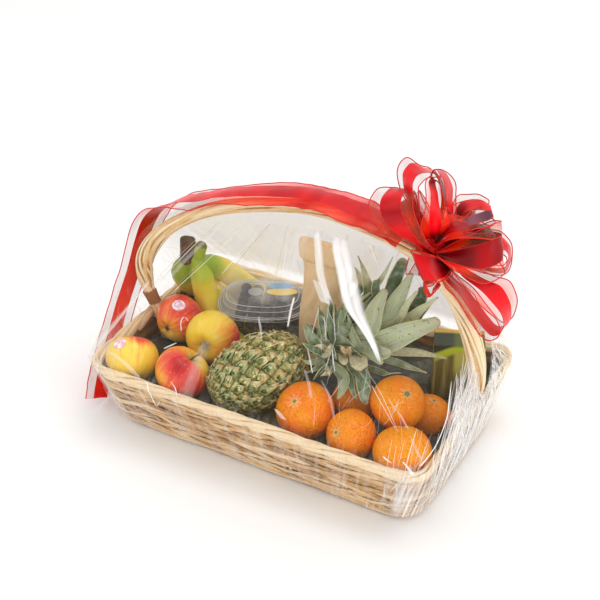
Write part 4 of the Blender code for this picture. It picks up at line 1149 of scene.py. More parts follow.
def add_stump(hand, centre, axis, radius, height, wood):
    """A cut end where the fingers meet; wood says how brown its sides are."""
    to_world = turned(centre, axis)

    def place(u, v):
        angle = TAU * (u % 1.0)
        flat = radius * (1.12 - 0.22 * v + 0.10 * ripple(u * 5, v * 3, radius * 900))
        flat *= (1 + 0.10 * math.cos(3 * angle)) * (0.02 if v in (0.0, 1.0) else 1.0)
        lift = height * (min(max((v - 0.08) / 0.84, 0), 1) - 0.5)
        return to_world @ Vector((flat * math.cos(angle), flat * math.sin(angle), lift))

    def brown(u, v):
        return max(wood, smooth_step(0.86, 0.95, v) * 0.9)

    outwards(hand, add_grid(hand, 24, 12, place, ends=True, tone=0.12, mark=brown))


def make_bananas():
    """A hand of four fingers on one cut stem."""
    hand = new_shape()
    stem = Vector(BANANA_STEM)
    for (points, radius), green in zip(BANANAS, BANANA_GREENS):
        add_finger(hand, points, radius, green)
    add_stump(hand, stem + Vector((-0.002, -0.002, 0.006)), (0.05, -0.06, 0.99), 0.0105, 0.032, 1.0)
    add_stump(hand, stem + Vector((0.010, 0.006, 0.000)), (0.28, 0.10, 0.95), 0.0088, 0.028, 0.08)
    as_piece("banana_hand", hand, banana_skin, ["banana_bunch"])


EYES_AROUND, EYE_TIERS = 18, 14


def pineapple_profile(t):
    """The body's radius at a height share."""
    swell = math.sin(math.pi * min(max(t, 0.0), 1.0)) ** 0.42
    return PINE_RADIUS * swell * mix(1.0, 0.93, t)


def pineapple_share(v):
    """Height share for a share of the way over the body, even along the skin."""
    return 0.5 - 0.5 * math.cos(math.pi * mix(0.03, 0.97, v))


def eye_stray(column, tier):
    """How far an eye is off its even place."""
    return 0.32 * math.sin(column % EYES_AROUND * 2.3 + tier * 1.7)


@functools.lru_cache(None)
def pineapple_eye(u, v):
    """How deep in its own eye a place is, from 0 in a groove to 1, how far off, and which eye it is."""
    best, second, which = 9.0, 9.0, (0, 0)
    row = v * EYE_TIERS
    for tier in (int(row) - 1, int(row), int(row) + 1, int(row) + 2):
        across = u * EYES_AROUND - 0.5 * (tier % 2) - 0.18 * tier
        for column in (round(across) - 1, round(across), round(across) + 1):
            stray = eye_stray(column, tier)
            away = math.hypot((across - column + stray) * 1.05, (row - tier - stray) * 0.98)
            if away < best:
                best, second, which = away, best, (column % EYES_AROUND, tier)
            elif away < second:
                second = away
    return min((second - best) * 1.15, 1.0), best, which


def pineapple_skin(u, v, lift=0.0):
    """A place on the body before it is laid in the basket."""
    t = pineapple_share(v)
    edge, away, which = pineapple_eye(u % 1.0, v)
    swell = 0.0024 * smooth_step(0.0, 0.45, edge) + 0.0010 * (1 - min(away, 1.0)) - 0.0024
    swell += 0.0014 * ripple(u * 60, v * 40, 2.0)
    reach = max(pineapple_profile(t) + swell + lift, 0.0005)
    return Vector((reach * math.cos(TAU * u), reach * math.sin(TAU * u), PINE_BODY * t))


def add_bract(body, to_world, u, v, main, draw):
    """A pointed scale over an eye, or a thin spike beside it."""
    turn = draw.uniform(-0.35, 0.35) if main else draw.uniform(-1.3, 1.3)
    far = draw.uniform(0.9, 1.25) if main else draw.uniform(0.35, 0.8)
    foot_u = u - 0.006 * math.sin(turn)
    foot_v = v - (0.036 if main else 0.0072) * math.cos(turn)
    tip_u = u + 0.024 * far * math.sin(turn) + draw.uniform(-0.004, 0.004)
    tip_v = min(max(v + (0.052 if main else 0.040) * far * math.cos(turn), 0.02), 0.99)
    t = pineapple_share(v)
    foot = pineapple_skin(foot_u, max(foot_v, 0.01), 0.0001)
    tip = pineapple_skin(tip_u, tip_v, draw.uniform(0.0014, 0.0040))
    out = Vector((math.cos(TAU * u), math.sin(TAU * u), 0))
    side = (tip - foot).cross(out).normalized()
    width = draw.uniform(0.0040, 0.0056) if main else draw.uniform(0.0009, 0.0018)
    width *= smooth_step(-0.05, 0.25, min(t, 1 - t))
    # Bracts that face up are made riper and paler: painted light on the top of the body.
    lit_from_above = (to_world.to_3x3() @ out).z * smooth_step(0.3, 0.8, v)
    riper = min(max((0.0 if main else 0.7) + 0.6 * lit_from_above + draw.uniform(-0.4, 0.3), 0.0), 1.0)

    def place(a, b):
        here = foot.lerp(tip, b) + out * (0.0016 * math.sin(math.pi * b))
        half = width * math.sin(math.pi * mix(0.28, 1.0, b)) ** 0.8 + 0.0002
        return to_world @ (here + side * (half * (a * 2 - 1)) - out * (0.0012 * (a * 2 - 1) ** 2))

    add_grid(body, 4 if main else 2, 5 if main else 3, place, slot=1, mark=riper)


def make_pineapple():
    """A body of grooved eyes, each with its bract and three spikes."""
    to_world = turned(PINE_LOW - PINE_AXIS * PINE_RADIUS, PINE_AXIS)
    body = new_shape()

    def place(u, v):
        return to_world @ pineapple_skin(u, v)

    def tone(u, v):
        return pineapple_eye(u % 1.0, v)[0]

    def ripeness(u, v):
        edge, away, which = pineapple_eye(u % 1.0, v)
        pick = ripple(which[0] * 3.1, which[1] * 2.7, 5.0)
        # Riper eyes are picked at random and by the eye's middle, with more on the side that faces up:
        # painted light there.
        lit_from_above = (to_world.to_3x3() @ Vector((math.cos(TAU * u), math.sin(TAU * u), 0))).z
        ripe = 0.30 + 0.9 * pick + 0.35 * lit_from_above * smooth_step(0.45, 0.85, v) + 0.25 * (1 - away)
        return min(max(ripe, 0.0), 1.0)

    outwards(body, add_grid(body, 286, 190, place, ends=True, tone=tone, mark=ripeness))
    draw = random.Random(8)
    for tier in range(1, EYE_TIERS):
        for column in range(EYES_AROUND):
            stray = eye_stray(column, tier)
            u = (column - stray + 0.5 * (tier % 2) + 0.18 * tier) / EYES_AROUND
            for spike in range(4):
                add_bract(body, to_world, u, (tier + stray) / EYE_TIERS, spike == 0, draw)
    as_piece("pineapple_body", body, [pineapple_rind, eye_bract], ["pineapple"])


# Each leaf's tip, middle and base from the body's top, in mm to the right, up and towards the
# front; then its width in mm, how dry it is, how blunt its end is and how light its green is,
# which is partly the leaf's own green and partly painted shade on leaves that lie in shadow
CROWN_LEAVES = (
    ((62, 110, 54), (71, 86, 46), (73, 56, 20), 13, 0.0, 0.00, 0.15),
    ((58, 97, 50), (63, 88, 44), (65, 68, 20), 8, 0.0, 0.00, 0.10),
    ((102, 108, 72), (93, 88, 48), (80, 71, 30), 6, 0.1, 0.00, 0.90),
    ((85, 82, 44), (83, 71, 46), (81, 56, 30), 11, 0.0, 0.70, 0.15),
    ((113, 106, 88), (107, 86, 44), (94, 56, 20), 18, 0.0, 0.75, 0.10),
    ((126, 90, 56), (112, 63, 48), (92, 33, 26), 23, 0.0, 0.25, 0.75),
    ((95, 71, 60), (83, 48, 52), (70, 18, 30), 24, 0.0, 0.35, 0.70),
    ((139, 74, 36), (138, 59, 32), (118, 36, 14), 20, 0.0, 0.40, 0.00),
    ((152, 54, 30), (140, 44, 30), (121, 31, 14), 12, 0.0, 0.10, 0.05),
    ((132, 68, 54), (119, 51, 50), (104, 29, 30), 10, 0.1, 0.30, 1.00),
    ((157, 61, 50), (138, 47, 48), (117, 32, 30), 13, 0.1, 0.10, 1.00),
    ((159, 33, 62), (123, 20, 54), (85, 5, 30), 29, 0.0, 0.45, 0.80),
    ((168, -12, 44), (140, -6, 46), (106, -4, 30), 10, 0.4, 0.10, 0.80),
    ((144, -29, 48), (123, -22, 46), (98, -14, 30), 8, 0.1, 0.05, 0.30),
    ((102, -3, 54), (88, -5, 50), (71, 4, 30), 20, 0.1, 0.50, 0.60),
    ((91, -18, 56), (82, -8, 50), (69, 2, 30), 14, 0.1, 0.50, 0.50),
    ((113, -35, 58), (98, -31, 52), (80, -25, 30), 7, 0.1, 0.05, 0.20),
    ((64, -27, 50), (64, -16, 44), (59, -3, 20), 23, 0.5, 0.75, 0.90),
    ((46, -20, 44), (45, -13, 40), (43, -6, 20), 12, 0.5, 0.70, 0.90),
    ((10, 3, 44), (17, 3, 46), (26, -1, 30), 6, 0.5, 0.00, 0.90),
    ((31, 6, 44), (28, 1, 46), (23, -9, 30), 6, 0.5, 0.00, 0.90),
    ((18, -33, 44), (23, -30, 46), (29, -27, 30), 5, 0.6, 0.00, 0.90),
    ((29, -33, 44), (27, -28, 46), (23, -21, 30), 5, 0.6, 0.00, 0.90),
    ((41, 4, 50), (44, 0, 48), (49, -7, 30), 7, 0.9, 0.00, 0.90),
    ((55, 3, 50), (52, 0, 48), (48, -7, 30), 7, 0.9, 0.00, 0.90),
    ((73, -66, 56), (69, -47, 50), (63, -25, 30), 17, 0.0, 0.75, 0.30),
    ((38, -60, 52), (44, -47, 48), (43, -30, 30), 14, 0.1, 0.20, 0.50),
    ((61, -62, 50), (55, -47, 48), (49, -30, 30), 9, 0.0, 0.20, 0.10),
    ((-2, 28, 40), (5, 16, 38), (20, -7, 20), 15, 0.0, 0.10, 0.30),
    ((16, 51, 42), (19, 31, 38), (28, 0, 20), 11, 0.0, 0.10, 0.10),
    ((25, 50, 46), (29, 31, 40), (39, 0, 20), 13, 0.0, 0.10, 0.30),
    ((43, 48, 50), (44, 28, 44), (49, 0, 20), 15, 0.0, 0.15, 0.30),
    ((50, 41, 52), (55, 19, 44), (60, -3, 20), 11, 0.0, 0.10, 0.60),
    ((35, 53, 40), (37, 31, 38), (43, 3, 20), 9, 0.0, 0.10, 0.10),
    ((-5, -13, 40), (5, -17, 38), (22, -12, 20), 7, 0.1, 0.00, 0.30),
    ((1, -29, 44), (11, -25, 40), (27, -17, 20), 7, 0.1, 0.00, 0.20),
    ((9, -37, 46), (19, -26, 40), (31, -18, 20), 7, 0.0, 0.00, 0.10),
    ((-4, 7, 40), (5, 1, 38), (22, -6, 20), 9, 0.0, 0.00, 0.20),
)


def under_film(point, margin=0.006):
    """Keeps a point under the film's slopes and below the handle."""
    ridge = handle_point(handle_x_share(min(max(point.x, -0.2), 0.2)))[0].y
    half = RIM_WIDTH / 2
    slope = (half - abs(point.y)) / half
    ceiling = mix(RIM_HEIGHT, ridge, min(max(slope, 0.0), 1.0)) - margin
    if abs(point.y) < HANDLE_RADIUS + 0.006:
        ceiling = min(ceiling, ridge - HANDLE_RADIUS * (1 + STRAND_RELIEF) - margin)
    return Vector((point.x, point.y, min(point.z, ceiling)))


def push_from_ball(point, centre, reach):
    """Moves a point that is inside a ball out to its surface."""
    away = point - centre
    return centre + away.normalized() * reach if away.length < reach else point


def clear_of_neighbours(point):
    """Keeps a leaf's point under the film and off the fruit, bag and carton beside it."""
    for centre, radius, axis in ORANGES.values():
        point = push_from_ball(point, Vector(centre), radius + 0.0022)
    if point.x < BAG_CENTRE.x + BAG_HALF_WIDTH + 0.006:
        point.y = min(point.y, BAG_CENTRE.y - BAG_HALF_DEPTH - 0.004)
    turn = Matrix.Rotation(-CARTON_YAW, 3, "Z")
    local = turn @ (point - CARTON_CENTRE)
    if abs(local.x) < CARTON_HALF_WIDTH + 0.006 and local.y > -CARTON_HALF_DEPTH - 0.004:
        if point.z < CARTON_TOP + 0.004:
            local.y = -CARTON_HALF_DEPTH - 0.004
            point = turn.inverted() @ local + CARTON_CENTRE
    point.x = min(point.x, 0.196)
    point.z = max(point.z, BED_HEIGHT + 0.004)
    return under_film(point)


def add_leaf(crown, points, width, draw, facing, dry=0.0, blunt=0.0, shade=0.5):
    """A thin channelled leaf along its points, from base to tip, its flat turned to one way."""
    twist = draw.uniform(-0.35, 0.35)
    seed = draw.uniform(0, 40)
    rows = 16

    @functools.lru_cache(None)
    def place(u, v):
        centre = catmull(points, v)
        ahead = (catmull(points, min(v + 0.03, 1.0)) - catmull(points, max(v - 0.03, 0.0))).normalized()
        side = ahead.cross(facing).normalized()
        lift = side.cross(ahead)
        wide = (side * math.cos(twist * v) + lift * math.sin(twist * v)).normalized()
        up = wide.cross(ahead)
        narrow = 1 - (1 - blunt) * smooth_step(0.42, 1.0, v) ** 1.15
        narrow *= mix(0.55, 1.0, smooth_step(0, 0.4, v))
        a = u * 2 - 1
        half = width / 2 * max(narrow, 0.03) + 0.0003
        end = width * 0.35 * blunt * a * a * smooth_step(0.8, 1.0, v)
        jag = 0.04 * math.sin(v * rows * math.pi) if abs(a) > 0.9 else 0.0
        channel = 0.34 * half * a * a + 0.0012 * ripple(v * 4, seed, a)
        return clear_of_neighbours(centre + wide * (half * a * (1 + jag)) + up * channel - ahead * end)

    def dryness(u, v):
        return min(smooth_step(0.90, 1.0, v) * (0.25 + 0.75 * blunt) + dry, 1.0)

    # The leaf's lightness, partly painted shade, is raised along its middle and lowered towards its base.
    def light(u, v):
        return shade + 0.18 * (1 - abs(u * 2 - 1)) - 0.25 * (1 - smooth_step(0.0, 0.35, v))

    add_grid(crown, 6, rows, place, uv=(1.0, 2.0, 0.0, seed), tone=light, mark=dryness)


# Rings of smaller leaves round the crown's foot: how many, how far out, how far ahead and how wide
FOOT_LEAVES = ((13, 0.028, 0.018, 0.013), (11, 0.046, 0.046, 0.016), (9, 0.052, 0.084, 0.019))


def make_crown():
    """Broad grey-green leaves that fan out of the body's top, and smaller ones round its foot."""
    draw = random.Random(17)
    crown = new_shape()

    def seen(offset):
        return CROWN_BASE + to_front(offset)

    for tip, middle, base, width, dry, blunt, shade in CROWN_LEAVES:
        points = (CROWN_BASE.lerp(seen(base), 0.35), seen(base), seen(middle), seen(tip))
        add_leaf(crown, points, width * 0.001, draw, BOW_FACE, dry, blunt, shade)
    side = CROWN_AXIS.cross(UP).normalized()
    up = side.cross(CROWN_AXIS)
    for count, reach, ahead, width in FOOT_LEAVES:
        for k in range(count):
            angle = TAU * (k + draw.uniform(-0.3, 0.3)) / count
            out = side * math.cos(angle) + up * math.sin(angle)
            far = draw.uniform(0.8, 1.15)
            foot = CROWN_BASE + CROWN_AXIS * (ahead * 0.3) + out * 0.006
            tip = CROWN_BASE + out * (reach * far) + CROWN_AXIS * (ahead * far)
            middle = foot.lerp(tip, 0.55) + CROWN_AXIS * 0.010
            points = (foot, foot.lerp(middle, 0.5), middle, tip)
            add_leaf(crown, points, width, draw, -out, 0.05, 0.1, draw.uniform(0, 0.5))
    made = as_piece("pineapple_leaves", crown, crown_leaf, ["pineapple_crown"])
    thick = made.modifiers.new("leaf_thickness", "SOLIDIFY")
    thick.thickness = 0.0009
    thick.offset = 0.0


def punnet_point(share, shrink, z, wave=0.0):
    """A place on the punnet's rounded outline, drawn in by shrink."""
    cos, sin = math.cos(TAU * share), math.sin(TAU * share)
    x = math.copysign(abs(cos) ** PUNNET_SQUARE, cos) * (PUNNET_HALF_LENGTH - shrink + wave)
    y = math.copysign(abs(sin) ** PUNNET_SQUARE, sin) * (PUNNET_HALF_WIDTH - shrink + wave)
    return Matrix.Rotation(PUNNET_YAW, 3, "Z") @ Vector((x, y, 0)) + PUNNET_CENTRE + UP * z


# Levels of the clear tray, the lid and its rings of whiter plastic, painted as highlights on its
# edges: how far in from the outline and the height, and for a ring how thick
TRAY_LEVELS = (
    (0.030, PUNNET_LOW + 0.0006), (0.010, PUNNET_LOW + 0.0006), (0.0065, PUNNET_LOW + 0.004),
    (0.0050, PUNNET_LOW + 0.014), (0.0042, PUNNET_SEAM - 0.0040), (0.0010, PUNNET_SEAM - 0.0030),
    (0.0002, PUNNET_SEAM - 0.0022), (0.0002, PUNNET_SEAM - 0.0008),
)
LID_LEVELS = (
    (0.0002, PUNNET_SEAM + 0.0002), (0.0002, PUNNET_SEAM + 0.0020), (0.0034, PUNNET_SEAM + 0.0024),
    (0.0052, PUNNET_SEAM + 0.0040), (0.0060, PUNNET_TOP - 0.0060), (0.0082, PUNNET_TOP - 0.0040),
    (0.0090, PUNNET_TOP - 0.0008), (0.0112, PUNNET_TOP - 0.0001), (0.0135, PUNNET_TOP - 0.0008),
    (0.0150, PUNNET_TOP - 0.0022), (0.0260, PUNNET_TOP - 0.0022), (0.0400, PUNNET_TOP - 0.0018),
)
LID_RINGS = (
    (0.0004, PUNNET_SEAM + 0.0021, 0.0010), (0.0030, PUNNET_SEAM + 0.0027, 0.0008),
    (0.0110, PUNNET_TOP, 0.0010), (0.0010, PUNNET_SEAM - 0.0028, 0.0008),
    (0.0070, PUNNET_TOP - 0.0052, 0.0008),
)
PUNNET_AROUND = 96


def add_moulding(shape, levels, fluted, flutes, depth):
    """A moulded wall through its levels, with flutes at some of them."""
    def place(u, v):
        index = round(v * (len(levels) - 1))
        shrink, z = levels[index]
        wave = depth * math.cos(flutes * TAU * u) if index in fluted else 0.0
        return punnet_point(u % 1.0, shrink, z, wave)

    outwards(shape, add_grid(shape, PUNNET_AROUND, len(levels) - 1, place, ends=True))


def make_punnet():
    """A clear clamshell: a ribbed tray, a lid with a tab, and rings of whiter plastic along its edges as
    painted highlights.
    """
    tray = new_shape()
    add_moulding(tray, TRAY_LEVELS, (2, 3, 4), 24, 0.0012)
    as_piece("berry_tray", tray, clear_plastic, ["punnet_tray"])
    lid = new_shape()
    add_moulding(lid, LID_LEVELS, (4, 5), 30, 0.0009)
    tab = [punnet_point(share, -0.001, PUNNET_SEAM + 0.0014) for share in (0.70, 0.72, 0.74, 0.76, 0.78)]
    add_tube(lid, path_stations(tab), 0.006, 0.0016, sides=8)
    as_piece("berry_lid", lid, clear_plastic, ["punnet_lid"])
    # Rings on the lid's edges in whiter, nearly solid plastic: painted highlights.
    rings = new_shape()
    for shrink, z, thick in LID_RINGS:
        ring = [punnet_point(k / PUNNET_AROUND, shrink, z) for k in range(PUNNET_AROUND + 1)]
        stations = []
        for k, point in enumerate(ring):
            ahead = ring[(k + 1) % PUNNET_AROUND] - ring[k - 1]
            stations.append((point, UP, ahead.cross(UP).normalized()))
        add_tube(rings, stations, thick, thick, sides=5, loop=True)
    as_piece("berry_lid_glint_rings", rings, glint_plastic)


def make_berries():
    """Two layers of dark berries, with the punnet's left end left bare."""
    draw = random.Random(3)
    heap = new_shape()
    turn = Matrix.Rotation(PUNNET_YAW, 3, "Z")
    for z, count_x, count_y in ((PUNNET_LOW + 0.010, 7, 5), (PUNNET_SEAM + 0.0002, 6, 5)):
        for i in range(count_x):
            for j in range(count_y):
                a, b = (i + 0.5) / count_x * 2 - 1, (j + 0.5) / count_y * 2 - 1
                if abs(a) ** 2.6 + abs(b) ** 2.6 > 1.15 or a < -0.7:
                    continue
                local = Vector((a * (PUNNET_HALF_LENGTH - 0.008), b * (PUNNET_HALF_WIDTH - 0.008), 0))
                local += Vector((draw.uniform(-0.001, 0.001), draw.uniform(-0.001, 0.001), 0))
                centre = turn @ local + PUNNET_CENTRE + UP * (z + draw.uniform(-0.001, 0.0015))
                radius = draw.uniform(0.0070, 0.0080)
                berry = bmesh.ops.create_icosphere(heap, subdivisions=2, radius=radius)["verts"]
                tone = draw.uniform(-0.1, 0.2)
                for vert in berry:
                    vert[heap.verts.layers.float["tone"]] = tone
                roll = Matrix.Rotation(draw.uniform(0, 3), 3, "X")
                bmesh.ops.scale(heap, vec=(1, 1, 0.88), verts=berry)
                bmesh.ops.rotate(heap, cent=(0, 0, 0), matrix=roll, verts=berry)
                bmesh.ops.translate(heap, vec=centre, verts=berry)
    as_piece("berry_heap", heap, berry_skin, ["berries"])


# Bare labels on the lid: the middle, half length, half width and turn of each
LABELS = (
    ((-0.0707, 0.0728), 0.0205, 0.0085, 0.50), ((-0.0795, 0.0835), 0.0160, 0.0070, 0.50),
    ((-0.1010, 0.0560), 0.0095, 0.0095, 0.0),
)


def make_labels():
    """Oval fields of plain colour that lie on the lid's sunk top."""
    labels = new_shape()
    for slot, (centre, half_x, half_y, yaw) in enumerate(LABELS):
        cos, sin = math.cos(yaw), math.sin(yaw)
        z = PUNNET_TOP - 0.0016 + 0.0001 * slot

        def oval(u, v, centre=centre, half_x=half_x, half_y=half_y, cos=cos, sin=sin, z=z):
            angle = TAU * (u % 1.0)
            x, y = half_x * v * math.cos(angle), half_y * v * math.sin(angle)
            return Vector((centre[0] + x * cos - y * sin, centre[1] + x * sin + y * cos, z))

        add_grid(labels, 36, 4, oval, slot=slot)
    for face in labels.faces:
        if face.normal.z < 0:
            face.normal_flip()
    as_piece("berry_labels", labels, [label_yellow, label_blue, label_grey])


# The bag's levels: height, and how wide and how deep it is there as shares of its size
BAG_LEVELS = (
    (BED_HEIGHT + 0.0005, 0.84, 0.75), (BED_HEIGHT + 0.006, 0.96, 0.95), (0.080, 0.99, 1.00),
    (0.100, 1.00, 1.00), (0.118, 0.98, 0.97), (0.135, 0.95, 0.92), (0.150, 0.88, 0.80),
    (0.165, 0.82, 0.66), (0.180, 0.80, 0.52), (0.195, 0.80, 0.40), (0.2065, 0.86, 0.34),
    (0.2085, 1.00, 0.50), (0.214, 1.02, 0.52), (0.222, 1.02, 0.50), (BAG_TOP - 0.003, 1.02, 0.46),
    (BAG_TOP, 0.98, 0.34),
)


def make_bag():
    """A kraft bag: puffed body, pinched neck and a folded-over top."""
    bag = new_shape()

    def level(v):
        at = v * (len(BAG_LEVELS) - 1)
        i = min(int(at), len(BAG_LEVELS) - 2)
        return (mix(low, high, at - i) for low, high in zip(BAG_LEVELS[i], BAG_LEVELS[i + 1]))

    def place(u, v):
        z, wide, deep = level(v)
        angle = TAU * (u % 1.0)
        cos, sin = math.cos(angle), math.sin(angle)
        x = math.copysign(abs(cos) ** 0.5, cos) * BAG_HALF_WIDTH * wide
        y = math.copysign(abs(sin) ** 0.7, sin) * BAG_HALF_DEPTH * deep
        lean = 0.004 * (z - BED_HEIGHT) / (BAG_TOP - BED_HEIGHT)
        crease = 0.0016 * abs(ripple(x * 60, z * 40, y * 30))
        crease -= 0.0012 * abs(ripple(x * 25 + z * 60, z * 18, 4.0))
        x, y = x * (1 + crease * 8) - lean, y * (1 + crease / BAG_HALF_DEPTH) + lean
        return Vector((BAG_CENTRE.x + x, BAG_CENTRE.y + y, z))

    outwards(bag, add_grid(bag, 72, 60, place, ends=True))
    as_piece("kraft_bag", bag, kraft_paper, ["paper_bag"])


def dress_carton():
    """The carton is the CAD model's own box, with its print."""
    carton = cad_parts["carton"]
    carton.data.materials.clear()
    carton.data.materials.append(carton_print)


# Film

def film_partner(point):
    """The share along the handle that the film above a rim point is drawn up to."""
    straight = RIM_LENGTH / 2 - RIM_CORNER
    if abs(point.x) <= straight:
        return handle_x_share(point.x * 0.97)
    leg = handle_height_share(FILM_LEG_START, point.x < 0)
    edge = handle_x_share(math.copysign(straight * 0.97, point.x))
    corner = math.pi / 2 * RIM_CORNER
    if abs(point.y) > RIM_WIDTH / 2 - RIM_CORNER:
        run = math.asin(min((abs(point.x) - straight) / RIM_CORNER, 1.0)) * RIM_CORNER
    else:
        run = corner + RIM_WIDTH / 2 - abs(point.y) - RIM_CORNER
    return mix(edge, leg, run / (corner + RIM_WIDTH / 2 - RIM_CORNER))


def film_frame(share):
    """What the film is drawn between above a place on the rim: its edge, eave and top."""
    rim = outline_at(share, RIM_HEIGHT)[0]
    here, outward, radius = handle_point(film_partner(rim))
    ridge = Vector((here.x, 0, here.y))
    out = Vector((outward.x, 0, outward.y))
    reach = radius * (1 + STRAND_RELIEF) + FILM_HANDLE_GAP
    edge = outline_at(share, RIM_HEIGHT, FILM_GAP - 0.001)[0]
    edge.z = RIM_HEIGHT + FILM_GAP
    side = max(min(rim.y, reach), -reach)
    eave = ridge + out * (reach * mix(1.15, 0.55, abs(side) / reach))
    eave.y = side
    return edge, eave, ridge + out * (reach * 1.15)


FILM_AROUND = 480
FILM_FRAMES = [film_frame(k / FILM_AROUND) for k in range(FILM_AROUND + 1)]
WALL_SHARE, EAVE_SHARE = 0.22, 0.97


def film_at(share, height, lift=0.0):
    """A place on the film: height 0 to 1 up from its foot; the wall is the first part."""
    if height < WALL_SHARE:
        z = mix(FILM_FOOT, RIM_HEIGHT - 0.002, height / WALL_SHARE)
        point, out = outline_at(share, z, FILM_GAP)
        return point + out * lift
    k = (share % 1.0) * FILM_AROUND
    edge, eave, top = (a.lerp(b, k - int(k)) for a, b in zip(FILM_FRAMES[int(k)], FILM_FRAMES[int(k) + 1]))
    normal = (outline_at(share, RIM_HEIGHT)[1] + Vector((0, 0, 0.8))).normalized()
    if height > EAVE_SHARE:
        point = eave.lerp(top, (height - EAVE_SHARE) / (1 - EAVE_SHARE))
    else:
        point = edge.lerp(eave, (height - WALL_SHARE) / (EAVE_SHARE - WALL_SHARE))
    return point + normal * lift


def round_places(share, size):
    """Two numbers that go round with the share and meet where it starts."""
    return math.cos(TAU * share) * size, math.sin(TAU * share) * size


def film_ripple(share, height):
    """Soft creases: drawn down from the ridge on the slopes, crossing and dense on the walls."""
    long_fold = ripple(*round_places(share, 25.0), height * 0.9)
    fine_fold = ripple(*round_places(share, 85.0), height * 3.0)
    wall = 1 - smooth_step(WALL_SHARE - 0.02, WALL_SHARE + 0.10, height)
    ends = smooth_step(0.60, 0.95, abs(math.cos(TAU * share)))
    depth = mix(mix(0.0010, 0.0016, ends), 0.0012, wall)
    free = min(smooth_step(0.0, 0.02, height) + 0.3, 1.0) * (1 - smooth_step(0.93, 0.99, height))
    return (depth * long_fold + 0.0006 * fine_fold * (wall + ends)) * free


FILM_GIRTH, BROAD_FOLD = 1.47, 0.009

